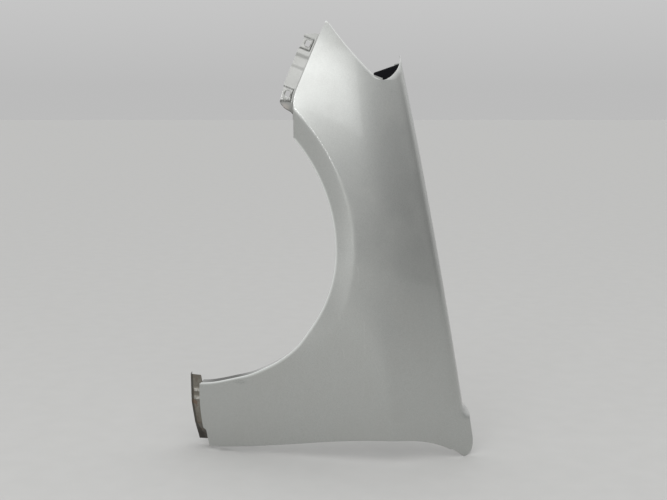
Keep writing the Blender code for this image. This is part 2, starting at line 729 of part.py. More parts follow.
def clip_cutter(name, frame, pad_z, cutters):
    """Square hole with rounded corners through the middle of a clip pad."""
    point, outward, inboard = frame
    depth = flange_profile(pad_z)[-1][1]
    out = PAD_WIDTH / 2 + PAD_MARGIN
    up = inboard.cross(outward)
    bm = bmesh.new()
    bmesh.ops.create_cube(bm, size=1.0)
    bmesh.ops.scale(bm, verts=bm.verts, vec=(CLIP_HOLE_WIDTH, CLIP_HOLE_HEIGHT, CUTTER_DEPTH))
    upright = [e for e in bm.edges if abs(e.verts[0].co.z - e.verts[1].co.z) > CUTTER_DEPTH / 2]
    bmesh.ops.bevel(bm, geom=upright, offset=BOLT_HOLE_RADIUS / 2, segments=3, affect='EDGES', profile=0.5)
    place = Matrix((outward, up, inboard)).transposed().to_4x4()
    add_cutter(name, bm, Matrix.Translation(point + outward * out + inboard * depth) @ place, cutters)


def edge_frame(s, z, tangent_step, inner):
    """Frame of a single point of an edge, from its neighbours on the same edge."""
    rail = [(s - tangent_step[0], z - tangent_step[1]), (s, z), (s + tangent_step[0], z + tangent_step[1])]
    return edge_frames(rail, [inner] * 3)[1]


def panel_holes(cutters):
    heights = [LEDGE_FIRST_HOLE_Z + LEDGE_HOLE_PITCH * k for k in range(LEDGE_HOLES)] + [PRONG_HOLE_Z]
    for number, z in enumerate(heights, 1):
        point, outward, inboard = edge_frame(EDGE_S, z, (0.0, EDGE_STEP), (SHOULDER_ROLL, z))
        middle = point + outward * (2 * FOLD_RADIUS + LEDGE_WIDTH / 2) + inboard * CHANNEL_DEPTH
        round_cutter(f"ledge_hole_{number}", middle, inboard, cutters)
    door = np.array(door_edge())
    for number, x in enumerate(DOOR_HOLES_X, 1):
        z = float(np.interp(x, door[:, 0], door[:, 1]))
        beside = float(np.interp(x + EDGE_STEP, door[:, 0], door[:, 1]))
        s = section_position(x, z)
        step = (section_position(x + EDGE_STEP, beside) - s, beside - z)
        point, outward, inboard = edge_frame(s, z, step, (s, z + EDGE_STEP))
        middle = point + outward * FOLD_RADIUS + inboard * (FOLD_RADIUS + DOOR_RETURN) / 2
        round_cutter(f"door_hole_{number}", middle, outward, cutters)
    for name, z in (("lower_clip_hole", LOWER_PAD_Z), ("upper_clip_hole", UPPER_PAD_Z)):
        s = section_position(bumper_x(z), z)
        above = z + EDGE_STEP
        step = (section_position(bumper_x(above), above) - s, EDGE_STEP)
        clip_cutter(name, edge_frame(s, z, step, (s + EDGE_STEP, z)), z, cutters)


def build_panel(collection, cutters):
    paint = make_material("silver_paint", (0.52, 0.54, 0.53), 0.30, 0.75)
    panel = mesh_object("fender_panel", panel_sheet(), collection, paint)
    panel.data.set_sharp_from_angle(angle=math.radians(35))
    wall = panel.modifiers.new("Sheet thickness", 'SOLIDIFY')
    wall.thickness = PANEL_GAUGE
    wall.offset = -1.0
    wall.use_even_offset = True
    panel_holes(cutters)
    holes = panel.modifiers.new("Bolt and clip holes", 'BOOLEAN')
    holes.operand_type = 'COLLECTION'
    holes.collection = cutters
    holes.solver = 'EXACT'


def plate_heights():
    """Named heights of the sill plate, from the sill end's top corner and from the door corner."""
    top = sill_run()[0][1]
    return {
        "top": top + PLATE_TOP_RISE,
        "bottom": DOOR_CORNER_Z - PLATE_BOTTOM_DROP,
        "lap_top": top - PLATE_LAP_TOP_DROP,
        "lap_bottom": DOOR_CORNER_Z + PLATE_LAP_BOTTOM_RISE,
        "taper": top - PLATE_TAPER_DROP,
        "foot": DOOR_CORNER_Z + PLATE_FOOT_RISE,
        "ribs": [top - drop for drop in PLATE_RIB_DROPS],
        "holes": [top - drop for drop in PLATE_HOLE_DROPS],
    }


def plate_levels(heights):
    """Heights at which the sill plate's section changes, with those of its ribs."""
    half = PLATE_RIB_WIDTH / 2
    levels = [heights["foot"], heights["taper"], heights["holes"][0]]
    for z in heights["ribs"]:
        levels += [z - half, z - half / 2, z + half / 2, z + half]
    levels = [z for z in levels if abs(z - heights["lap_top"]) > half / 2]
    levels += [heights[key] for key in ("bottom", "lap_bottom", "lap_top", "top")]
    return sorted(levels + [heights["holes"][1]])


def plate_row(z, sill_end, heights):
    """Points of the sill plate's section at height z, from the lap to the free edge of the rim."""
    s_end = float(np.interp(z, [p[1] for p in sill_end], [p[0] for p in sill_end]))
    under = PANEL_GAUGE + SEAT_GAP
    row = [skin_point(s, z) + inward_normal(s, z) * under
           for s in (s_end + PLATE_LAP, s_end + (PLATE_LAP + PLATE_OVERLAP) / 2,
                     s_end + PLATE_OVERLAP + PLATE_STEP)]
    rib = max(0.0, max(1 - max(0.0, abs(z - r) - PLATE_RIB_WIDTH / 4) / (PLATE_RIB_WIDTH / 4)
                       for r in heights["ribs"]))
    foot = max(0.0, heights["foot"] - z) * math.tan(PLATE_FOOT_LEAN)
    taper = PLATE_TAPER * max(0.0, (heights["taper"] - z) / (heights["taper"] - heights["bottom"]))
    outer_s = section_position(PLATE_OUTER_X + taper, z)
    stepped = under + PLATE_STEP + foot
    strip = [s_end + PLATE_OVERLAP, s_end - PLATE_STEP / 2]
    strip += [strip[-1] + (outer_s + PLATE_FOLD - strip[-1]) * k / 2 for k in (1, 2)]
    for number, s in enumerate(strip):
        raised = 0.0 if number in (0, len(strip) - 1) else PLATE_RIB_HEIGHT * rib
        row.append(skin_point(s, z) + inward_normal(s, z) * (stepped - raised))
    corner = skin_point(outer_s, z) + inward_normal(outer_s, z) * stepped
    corner.x = PLATE_OUTER_X + taper
    for reach in (PLATE_FOLD, PLATE_RIM / 2, PLATE_RIM):
        row.append(corner + Vector((0.0, reach, 0.0)))
    return row


def build_plate(collection, cutters):
    steel = make_material("primed_steel", (0.30, 0.25, 0.21), 0.60, 0.35)
    sill_end = sorted(panel_columns()[0][0], key=lambda p: p[1])
    heights = plate_heights()
    bm = bmesh.new()
    rows = []
    for z in plate_levels(heights):
        points = plate_row(z, sill_end, heights)
        if not heights["lap_bottom"] <= z <= heights["lap_top"]:
            points = points[PLATE_LAP_POINTS:]
        rows.append([bm.verts.new(p) for p in points])
    for first, second in zip(rows, rows[1:]):
        shared = min(len(first), len(second))
        bridge(bm, first[-shared:], second[-shared:])
    face_outwards(bm)
    plate = mesh_object("sill_plate", bm, collection, steel)
    plate.data.set_sharp_from_angle(angle=math.radians(35))
    wall = plate.modifiers.new("Sheet thickness", 'SOLIDIFY')
    wall.thickness = BRACKET_GAUGE
    wall.offset = -1.0
    wall.use_even_offset = True
    for number, z in enumerate(heights["holes"], 1):
        row = plate_row(z, sill_end, heights)
        round_cutter(f"sill_hole_{number}", (row[-1] + row[-3]) / 2, Vector((1.0, 0.0, 0.0)), cutters)
    holes = plate.modifiers.new("Sill bolt holes", 'BOOLEAN')
    holes.operand_type = 'COLLECTION'
    holes.collection = cutters
    holes.solver = 'EXACT'


def foam_section(z):
    """Outline of the foam block at height z: clear of the roll, seated on the top land and wall."""
    under = PANEL_GAUGE + SEAT_GAP
    roll = []
    for s in np.linspace(FOAM_FRONT_S, SHOULDER_ROLL, 4):
        roll.append(skin_point(s, z) + inward_normal(s, z) * (under + FOAM_ROLL_GAP))
    edge = skin_point(EDGE_S, z)
    seat = skin_point(SHOULDER_ROLL + FOAM_ROLL_GAP, z)
    back = edge.y + FOLD_RADIUS - under - SEAT_GAP
    return ([Vector((foam_left_x(), roll[0].y, z))] + roll
            + [Vector((edge.x - under, seat.y, z)), Vector((edge.x - under, back, z)),
               Vector((foam_left_x(), back, z))])


def build_foam(collection):
    foam = make_material("black_foam", (0.012, 0.013, 0.016), 0.95, 0.0)
    bottom = NOTCH_Z - FOAM_BELOW_NOTCH
    low_top = NOTCH_Z + FOAM_RISE_LEFT
    bm = bmesh.new()
    rings = []
    for share in (0.0, 0.5, 1.0):
        ring = []
        for number in range(len(foam_section(bottom))):
            x = foam_section(low_top)[number].x
            across = (x - foam_left_x()) / (limb_x(low_top) - foam_left_x())
            top = low_top + (FOAM_RISE_RIGHT - FOAM_RISE_LEFT) * across
            z = bottom + (top - bottom) * share
            ring.append(bm.verts.new(foam_section(z)[number]))
        rings.append(ring)
    for first, second in zip(rings, rings[1:]):
        bridge(bm, first + first[:1], second + second[:1])
    bm.faces.new(rings[0])
    bm.faces.new(rings[-1])
    bmesh.ops.recalc_face_normals(bm, faces=bm.faces)
    block = mesh_object("channel_foam", bm, collection, foam)
    rounding = block.modifiers.new("Soft edges", 'BEVEL')
    rounding.width = FOAM_ROUNDING
    rounding.segments = 2
    rounding.limit_method = 'ANGLE'
    rounding.angle_limit = math.radians(50)


def main():
    for thing in list(bpy.data.objects):
        bpy.data.objects.remove(thing, do_unlink=True)
    fender = bpy.data.collections.new("car_fender")
    bpy.context.scene.collection.children.link(fender)
    panel_cutters = bpy.data.collections.new("panel_cutters")
    bpy.context.scene.collection.children.link(panel_cutters)
    plate_cutters = bpy.data.collections.new("plate_cutters")
    bpy.context.scene.collection.children.link(plate_cutters)
    build_panel(fender, panel_cutters)
    build_plate(fender, plate_cutters)
    build_foam(fender)


main()
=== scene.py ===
# Looks of a left front fender, standing on its door edge with its outer face to -Y.
# +X is up on the car, +Y is inboard and +Z is forward. Sizes are in metres.
import json
import math

import bmesh
import bpy
import numpy as np
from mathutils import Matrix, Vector

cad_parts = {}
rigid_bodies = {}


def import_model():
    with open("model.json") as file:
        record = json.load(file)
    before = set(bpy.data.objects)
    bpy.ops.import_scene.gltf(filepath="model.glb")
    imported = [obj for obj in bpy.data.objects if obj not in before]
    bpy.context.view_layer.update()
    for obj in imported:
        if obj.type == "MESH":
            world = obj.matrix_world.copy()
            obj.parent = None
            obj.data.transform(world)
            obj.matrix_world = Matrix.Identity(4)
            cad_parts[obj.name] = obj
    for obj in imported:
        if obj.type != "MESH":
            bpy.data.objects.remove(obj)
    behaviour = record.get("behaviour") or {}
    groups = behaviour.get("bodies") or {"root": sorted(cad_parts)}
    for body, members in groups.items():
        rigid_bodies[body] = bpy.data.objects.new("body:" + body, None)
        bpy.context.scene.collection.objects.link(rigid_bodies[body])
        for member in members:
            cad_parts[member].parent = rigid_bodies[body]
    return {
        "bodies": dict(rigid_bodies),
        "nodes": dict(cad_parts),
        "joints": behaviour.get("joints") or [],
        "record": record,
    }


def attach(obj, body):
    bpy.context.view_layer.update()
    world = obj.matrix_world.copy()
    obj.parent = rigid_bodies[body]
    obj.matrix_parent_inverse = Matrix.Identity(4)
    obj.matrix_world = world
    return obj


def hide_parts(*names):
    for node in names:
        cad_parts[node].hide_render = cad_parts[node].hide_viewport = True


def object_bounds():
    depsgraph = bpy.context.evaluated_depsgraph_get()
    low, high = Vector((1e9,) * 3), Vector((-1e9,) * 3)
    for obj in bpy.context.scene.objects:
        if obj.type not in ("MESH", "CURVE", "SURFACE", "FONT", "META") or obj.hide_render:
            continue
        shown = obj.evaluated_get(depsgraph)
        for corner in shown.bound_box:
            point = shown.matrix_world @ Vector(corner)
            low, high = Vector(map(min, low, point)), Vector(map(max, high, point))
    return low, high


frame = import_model()
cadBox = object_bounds()
print("frame loaded")


# The pressing: what shapes its surface and outline

skin = {
    "gauge": 0.0008, "seatGap": 0.0003,
    # wheel arch in side view
    "archCrownX": 0.012, "archCentreZ": 0.552, "archRadius": 0.341, "archFrontRadius": 0.436,
    "archLineAngle": math.radians(-73), "archEndRise": 0.286, "sillEndX": -0.350, "sillEndBulge": 0.008,
    "sillSink": 0.0085, "sillSinkFrom": -0.040, "sillSinkOver": 0.060,
    "legSink": 0.0030, "legSinkFrom": -0.160, "legSinkOver": 0.070,
    "endLift": 0.0065, "endLiftFrom": -0.290, "endLiftOver": 0.060,
    "cornerBulge": 0.0060, "cornerCut": 0.0150, "cornerCutAt": 0.70, "cornerCutOver": 0.05,
    # flare band round the arch
    "flareWidth": 0.048, "flareSlopeFront": 0.34, "flareSlopeRear": 0.17, "flareRounding": 0.006,
    "flareFadeFrom": math.radians(-52), "flareFadeTo": math.radians(-22),
    "flareChangeOver": math.radians(45),
    # bumper edge, tip and headlight opening
    "bumperStraight": 0.085, "bumperRadius": 0.080, "bumperLean": math.radians(22.7),
    "noseRise": 0.292, "tipWidth": 0.005, "tipCrown": 0.001, "tipLean": math.radians(55),
    "headlightLean": math.radians(45), "headlightRadius": 0.030, "notchInset": 0.060, "notchDrop": 0.148,
    "prongRise": 0.063, "prongFlank": 0.078, "prongFlankPower": 0.6,
    # door edge, tail and ear
    "doorCornerX": -0.327, "doorCornerZ": 0.014, "doorSlope": math.radians(7),
    "doorSink": 0.0055, "doorSinkFrom": -0.250, "doorSinkOver": 0.390,
    "doorCrestX": 0.146, "doorCrestZ": 0.064, "tailReach": 0.012, "tailSlope": math.radians(40),
    "earReach": 0.052, "earHeight": 0.048, "earAngle": math.radians(44),
    "earTurnFrom": 0.092, "earTurnOver": 0.050,
    # shoulder line and roll
    "shoulderX": 0.369, "shoulderLean": 0.161, "shoulderBow": 0.0204, "shoulderY": -0.0525,
    "shoulderAngle": math.radians(24), "shoulderRoll": 0.062, "topLand": 0.020,
    # crown of the side and the character line
    "sideCrownRadius": 1.7, "creaseAngle": math.radians(24), "creaseOffset": 0.175,
    "creaseHalfSharp": 0.016, "creaseHalfSoft": 0.190, "creaseFadeFrom": 0.177, "creaseFadeOver": 0.330,
    # inboard sweep towards both ends
    "planDatumZ": 0.407, "planFrontRadius": 3.2, "planRearRadius": 6.0,
    "noseFromZ": 0.807, "noseLength": 0.316, "noseSweep": 0.025,
    # folded edges
    "foldRadius": 0.0022, "foldSteps": 6,
    "archLip": 0.020, "archLipLean": math.radians(8), "archLipLeanOver": 0.130,
    "doorReturn": 0.022, "headlightReturn": 0.009,
    "channelDepth": 0.017, "ledgeWidth": 0.026, "channelFromZ": 0.160,
}
edgeS = skin["shoulderRoll"] + skin["topLand"]
archEndZ = skin["archCentreZ"] + skin["archEndRise"]
tipZ = archEndZ + skin["noseRise"]
notchZ = tipZ - skin["notchDrop"]
prongZ = notchZ + skin["prongRise"]


def smoothStep(t):
    t = np.clip(t, 0.0, 1.0)
    return t * t * t * (t * (6 * t - 15) + 10)


def fadeIn(name, value):
    # 0 up to the start that the name gives, and 1 beyond its reach
    return smoothStep((value - skin[name + "From"]) / skin[name + "Over"])


def sectionAngle(s, z):
    # turning angle of the horizontal section at s from the shoulder line, negative towards the arch
    soft = fadeIn("creaseFade", z)
    half = skin["creaseHalfSharp"] + (skin["creaseHalfSoft"] - skin["creaseHalfSharp"]) * soft
    crease = smoothStep((-s - skin["creaseOffset"] + half) / (2 * half))
    side = skin["shoulderAngle"] + s / skin["sideCrownRadius"] - skin["creaseAngle"] * crease
    closed = fadeIn("earTurn", z)
    end = skin["earAngle"] + (math.pi / 2 - skin["earAngle"]) * closed
    roll = skin["shoulderAngle"] + (end - skin["shoulderAngle"]) * smoothStep(s / skin["shoulderRoll"])
    return np.where(s < 0, side, roll)


def sectionRun(s, z, samples=140):
    # advance in x and y along the section, by the trapezium rule
    t = np.linspace(0.0, 1.0, samples)
    angle = sectionAngle(s[..., None] * t, z[..., None])
    step = s / (samples - 1)
    runX = step * (np.cos(angle).sum(-1) - (np.cos(angle[..., 0]) + np.cos(angle[..., -1])) / 2)
    runY = step * (np.sin(angle).sum(-1) - (np.sin(angle[..., 0]) + np.sin(angle[..., -1])) / 2)
    return runX, runY


rollReach = float(sectionRun(np.array(skin["shoulderRoll"]), np.array(skin["planDatumZ"]))[0])


def limbX(z):
    return skin["shoulderX"] - skin["shoulderLean"] * z - skin["shoulderBow"] * z * z


def notchX():
    return limbX(notchZ) - skin["notchInset"]


def planSweep(z):
    away = z - skin["planDatumZ"]
    radius = np.where(away > 0, skin["planFrontRadius"], skin["planRearRadius"])
    nose = np.maximum(0.0, (z - skin["noseFromZ"]) / skin["noseLength"])
    return away * away / (2 * radius) + skin["noseSweep"] * nose ** 3


def archArc(z):
    radius = np.where(z < skin["archCentreZ"], skin["archRadius"], skin["archFrontRadius"])
    return skin["archCrownX"] - radius, radius


def flareDepth(x, z):
    centreX, radius = archArc(z)
    rise = z - skin["archCentreZ"]
    away = np.hypot(x - centreX, rise) - radius
    turn = np.arctan2(rise, x - centreX)
    fade = smoothStep((turn - skin["flareFadeFrom"]) / (skin["flareFadeTo"] - skin["flareFadeFrom"]))
    front = smoothStep(turn / skin["flareChangeOver"] + 0.5)
    slope = skin["flareSlopeRear"] + (skin["flareSlopeFront"] - skin["flareSlopeRear"]) * front
    inside = skin["flareWidth"] - away
    rounding = skin["flareRounding"]
    corner = (np.clip(inside, -rounding, rounding) + rounding) ** 2 / (4 * rounding)
    return slope * fade * (corner + np.maximum(0.0, inside - rounding))


def skinPoints(s, z):
    # points on the outer face for arrays of places along the section and heights
    s, z = np.broadcast_arrays(np.asarray(s, float), np.asarray(z, float))
    runX, runY = sectionRun(s, z)
    x = limbX(z) - rollReach + runX
    y = skin["shoulderY"] + planSweep(z) + runY + flareDepth(x, z)
    return np.stack((x, y, z), -1)


def inwardNormals(s, z, step=0.0005):
    s, z = np.asarray(s, float), np.asarray(z, float)
    across = skinPoints(s + step, z) - skinPoints(s - step, z)
    up = skinPoints(s, z + step) - skinPoints(s, z - step)
    normal = np.cross(up, across)
    return normal / np.linalg.norm(normal, axis=-1, keepdims=True)


def sectionPosition(x, z):
    # the s at which the section at height z reaches x
    x, z = np.broadcast_arrays(np.asarray(x, float), np.asarray(z, float))
    s = x - limbX(z) + rollReach
    for _ in range(8):
        s = s + (x - limbX(z) + rollReach - sectionRun(s, z)[0]) / np.cos(sectionAngle(s, z))
    return s


# Outlines, as arrays of (x, z), or of (s, z) once laid flat

def layFlat(points):
    points = np.asarray(points, float)
    return np.stack((sectionPosition(points[:, 0], points[:, 1]), points[:, 1]), -1)


def along(points, fractions):
    points = np.asarray(points, float)
    lengths = np.concatenate(([0.0], np.cumsum(np.hypot(*np.diff(points, axis=0).T))))
    at = np.asarray(fractions) * lengths[-1]
    return np.stack((np.interp(at, lengths, points[:, 0]), np.interp(at, lengths, points[:, 1])), -1)


def arc(centre, radius, start, end):
    turn = np.linspace(start, end, grid["curvePoints"])
    return np.stack((centre[0] + radius * np.cos(turn), centre[1] + radius * np.sin(turn)), -1)


def bezier(a, b, c, d):
    t = np.linspace(0.0, 1.0, grid["curvePoints"])[:, None]
    a, b, c, d = (np.asarray(p, float) for p in (a, b, c, d))
    return (1 - t) ** 3 * a + 3 * (1 - t) ** 2 * t * b + 3 * (1 - t) * t * t * c + t ** 3 * d


def sunk(points):
    # the sill leg dips a little below the plain arc
    points = np.array(points, float)
    for name in ("sill", "leg"):
        share = smoothStep((skin[name + "SinkFrom"] - points[:, 0]) / skin[name + "SinkOver"])
        points[:, 1] -= skin[name + "Sink"] * share
    end = np.clip((skin["endLiftFrom"] - points[:, 0]) / skin["endLiftOver"], 0.0, 1.0)
    points[:, 1] += skin["endLift"] * end * end
    return points


def sillRun():
    angle, radius = skin["archLineAngle"], skin["archRadius"]
    x = skin["archCrownX"] - radius + radius * math.cos(angle)
    z = skin["archCentreZ"] + radius * math.sin(angle)
    run = np.linspace((skin["sillEndX"], z - (skin["sillEndX"] - x) / math.tan(angle)), (x, z), 40)
    return sunk(run)


def archEdge():
    radius, frontRadius = skin["archRadius"], skin["archFrontRadius"]
    rear = arc((skin["archCrownX"] - radius, skin["archCentreZ"]), radius, skin["archLineAngle"], 0.0)
    end = math.asin(skin["archEndRise"] / frontRadius)
    front = arc((skin["archCrownX"] - frontRadius, skin["archCentreZ"]), frontRadius, 0.0, end)
    return np.concatenate((sunk(rear), front[1:]))


def bumperX(z):
    z = np.asarray(z, float)
    radius, lean = skin["bumperRadius"], skin["bumperLean"]
    away = np.maximum(0.0, z - archEndZ - skin["bumperStraight"])
    turned = radius * math.sin(lean)
    curved = radius - np.sqrt(radius ** 2 - np.minimum(away, turned) ** 2)
    return archEdge()[-1, 0] + curved + np.maximum(0.0, away - turned) * math.tan(lean)


def headlightEdge():
    radius, lean = skin["headlightRadius"], skin["headlightLean"]
    curve = arc((notchX(), notchZ + radius), radius, -math.pi / 2, -math.pi / 2 - lean)
    tip = np.array([float(bumperX(tipZ)) + skin["tipWidth"], tipZ])
    rise = (tipZ - curve[-1, 1]) / 3
    lower = curve[-1] + (-rise / math.tan(lean), rise)
    upper = tip + (rise / math.tan(skin["tipLean"]), -rise)
    return np.concatenate((curve, bezier(curve[-1], lower, upper, tip)[1:]))


def doorEdge():
    cornerX, cornerZ = skin["doorCornerX"], skin["doorCornerZ"]
    crestX, crestZ = skin["doorCrestX"], skin["doorCrestZ"]
    tailX = float(skinPoints(skin["tailReach"], 0.0)[0])
    reach, fall = (crestX - cornerX) / 3, (tailX - crestX) / 3
    rise = (cornerX + reach, cornerZ + reach * math.tan(skin["doorSlope"]))
    drop = (tailX - fall, fall * math.tan(skin["tailSlope"]))
    first = bezier((cornerX, cornerZ), rise, (crestX - reach, crestZ), (crestX, crestZ))
    second = bezier((crestX, crestZ), (crestX + fall, crestZ), drop, (tailX, 0.0))
    edge = np.concatenate((first, second[1:]))
    edge[:, 1] -= skin["doorSink"] * (1 - fadeIn("doorSink", edge[:, 0]))
    return edge


def earEdge():
    tailS, height = skin["tailReach"], skin["earHeight"]
    turn = np.linspace(-math.pi / 2, 0.0, grid["curvePoints"])
    ear = np.stack((tailS + (skin["earReach"] - tailS) * np.cos(turn), height + height * np.sin(turn)), -1)
    z = np.linspace(height, skin["channelFromZ"], grid["curvePoints"])[1:]
    closed = fadeIn("earTurn", z)
    return np.concatenate((ear, np.stack((skin["earReach"] + (edgeS - skin["earReach"]) * closed, z), -1)))


# The pressing as an open sheet, with columns from the arch side to the bonnet side

grid = {
    "doorColumns": 110, "doorBend": 0.6, "earColumns": 30, "earNearShare": 0.13, "bonnetColumns": 110,
    "cornerColumnRise": 0.4, "bumperColumns": 54, "noseColumns": 50, "prongRows": 20,
    "prongRowPower": 1.5, "channelRows": 16,
    "nearRows": 24, "nearWidth": 0.064, "middleRows": 22, "rollRows": 14, "landRows": 4,
    "fixedRowsShare": 0.85, "swingColumns": 8, "curvePoints": 120,
}
notchRow = grid["nearRows"] + grid["middleRows"]


def rowFractions(length):
    beyondNotch = edgeS - float(sectionPosition(notchX(), notchZ))
    land, roll = skin["topLand"], skin["shoulderRoll"]
    shrink = min(1.0, grid["fixedRowsShare"] * length / (grid["nearWidth"] + beyondNotch))
    near = np.linspace(0.0, grid["nearWidth"], grid["nearRows"] + 1) * shrink / length
    far = np.concatenate(([beyondNotch], land + np.linspace(roll, 0.0, grid["rollRows"] + 1),
                          np.linspace(land, 0.0, grid["landRows"] + 1)[1:]))
    far = 1 - far * shrink / length
    middle = np.linspace(near[-1], far[0], grid["middleRows"] + 1)[1:-1]
    return np.concatenate((near, middle, far))


def straightColumn(near, far):
    near, far = np.asarray(near, float), np.asarray(far, float)
    return near + (far - near) * rowFractions(float(np.hypot(*(far - near))))[:, None]


def squareColumn(near, far, share):
    # meets the door edge square, or nearly straight towards either end of it
    square = np.array([far[0], far[1] + grid["doorBend"] * (near[1] - far[1])])
    weight = float(smoothStep(2 * min(share, 1 - share)))
    bend = (near + far) / 2 * (1 - weight) + square * weight
    f = rowFractions(float(np.hypot(*(far - near))))[:, None]
    return (1 - f) ** 2 * near + 2 * f * (1 - f) * bend + f * f * far


def panelColumns():
    curve = archEdge()
    centreX = skin["archCrownX"] - skin["archRadius"]
    tailX = float(skinPoints(skin["tailReach"], 0.0)[0])
    lowerEnd = math.atan2(-skin["archCentreZ"], tailX - centreX)
    turn = np.arctan2(curve[:, 1] - skin["archCentreZ"], curve[:, 0] - centreX)
    split = int(np.argmin(np.abs(turn - lowerEnd)))
    flatDoor = layFlat(doorEdge())
    doorS = np.linspace(flatDoor[0, 0], flatDoor[-1, 0], grid["doorColumns"] + 1)
    far = np.stack((doorS, np.interp(doorS, flatDoor[:, 0], flatDoor[:, 1])), -1)
    shares = np.linspace(0.0, 1.0, len(doorS))
    near = along(layFlat(np.concatenate((sillRun(), curve[1:split + 1]))), shares)
    columns = [squareColumn(a, b, share) for a, b, share in zip(near, far, shares)]
    f = rowFractions(float(np.hypot(*(far[0] - near[0]))))
    columns[0][:, 0] -= skin["sillEndBulge"] * 4 * f * (1 - f)

    count = grid["earColumns"] + grid["bonnetColumns"]
    steps = np.linspace(0.0, 1.0, count + 1)[1:]
    earShare = grid["earColumns"] / count
    near = along(layFlat(curve[split:]), np.interp(steps, [0, earShare, 1], [0, grid["earNearShare"], 1]))
    cornerFarZ = archEndZ + grid["cornerColumnRise"] * (notchZ - archEndZ)
    ear = along(earEdge(), np.linspace(0.0, 1.0, grid["earColumns"] + 1)[1:])
    bonnetZ = np.linspace(skin["channelFromZ"], cornerFarZ, grid["bonnetColumns"] + 1)[1:]
    bonnet = np.stack((np.full_like(bonnetZ, edgeS), bonnetZ), -1)
    columns += [straightColumn(a, b) for a, b in zip(near, np.concatenate((ear, bonnet)))]

    levels = bumperLevels()
    for z in levels:
        share = (z - archEndZ) / (levels[-1] - archEndZ)
        start = (float(sectionPosition(bumperX(z), z)), z)
        columns.append(straightColumn(start, (edgeS, cornerFarZ + (notchZ - cornerFarZ) * share)))
    # the last few columns swing level with the notch, so that the outer rows bound the opening
    last = columns[-1].copy()
    inwards = np.minimum(1.0, (last[:, 0] - last[0, 0]) / (last[notchRow, 0] - last[0, 0]))
    level = last[0, 1] + (notchZ - last[0, 1]) * inwards
    swing = grid["swingColumns"]
    for k in range(swing):
        column = columns[len(columns) - swing + k]
        weight = ((k + 1) / swing) ** 2
        column[:, 1] += (level - last[:, 1]) * weight
    return columns


def bumperLevels():
    return np.linspace(archEndZ, flangeHeights()["recessFrom"], grid["bumperColumns"] + 1)[1:]


def noseLevels():
    return np.linspace(flangeHeights()["recessFrom"], tipZ, grid["noseColumns"] + 1)[1:]


def noseColumns(shared):
    base = shared[:notchRow + 1]
    first = np.hypot(*(base - base[0]).T)
    first = first / first[-1]
    levels = noseLevels()
    startZ = bumperLevels()[-1]
    share = (levels - startZ) / (tipZ - startZ)
    far = along(layFlat(headlightEdge()), share)
    even = np.linspace(0.0, 1.0, notchRow + 1)
    columns = []
    for z, t, end in zip(levels, share, far):
        start = np.array([float(sectionPosition(bumperX(z), z)), z])
        columns.append(start + (end - start) * (first + (even - first) * t)[:, None])
    columns[-1][:, 1] += skin["tipCrown"] * 4 * even * (1 - even)
    return columns


def prongRows(shared):
    base = shared[notchRow:, 0]
    rows = []
    for t in np.linspace(0.0, 1.0, grid["prongRows"] + 1)[1:] ** grid["prongRowPower"]:
        left = base[0] + skin["prongFlank"] * t ** skin["prongFlankPower"]
        s = left + (edgeS - left) * (base - base[0]) / (edgeS - base[0])
        rows.append(np.stack((s, np.full_like(s, notchZ + (prongZ - notchZ) * t)), -1))
    return rows


# The bumper flange, with its joggle, two square clip pads and the recess between them

flange = {
    "setback": 0.008, "width": 0.037, "startRise": 0.044, "tuckLength": 0.046, "tuck": 0.020,
    "topDrop": 0.0282, "padWidth": 0.033, "padMargin": 0.002, "padRamp": 0.003, "padRaise": 0.0025,
    "lowerPadRise": 0.1048, "lowerPadSize": 0.0234, "upperPadDrop": 0.0625, "upperPadSize": 0.025,
    "recessAbovePad": 0.0445, "recessBelowPad": 0.0075, "recessRamp": 0.014, "recessDepth": 0.0035,
    "groove": 0.0007, "collar": 0.0008, "collarRadius": 0.0095, "cells": 30,
    "holeWidth": 0.012, "holeHeight": 0.015, "centreStep": 0.010, "collarWidth": 0.0012,
    # where the groove and the line of painted shade run across a pad's ramp, from 0 at its foot to 1
    "grooveAt": 0.12, "frameAt": 0.35, "edgeShade": 0.004, "edgeFade": 0.002, "tuckPower": 1.3,
}


def flangeHeights():
    lower = archEndZ + flange["lowerPadRise"]
    upper = tipZ - flange["upperPadDrop"]
    ramp = flange["padRamp"]
    start = archEndZ + flange["startRise"]
    top = tipZ - flange["topDrop"]
    root = 2 * skin["foldRadius"] + flange["padMargin"]
    return {
        "start": start, "tuckTo": start + flange["tuckLength"],
        "top": top, "end": top - root * math.sin(skin["bumperLean"]),
        "pads": ((lower, flange["lowerPadSize"]), (upper, flange["upperPadSize"])),
        "recessFrom": lower + flange["lowerPadSize"] / 2 + ramp + flange["recessAbovePad"],
        "recessTo": upper - flange["upperPadSize"] / 2 - ramp - flange["recessBelowPad"],
    }


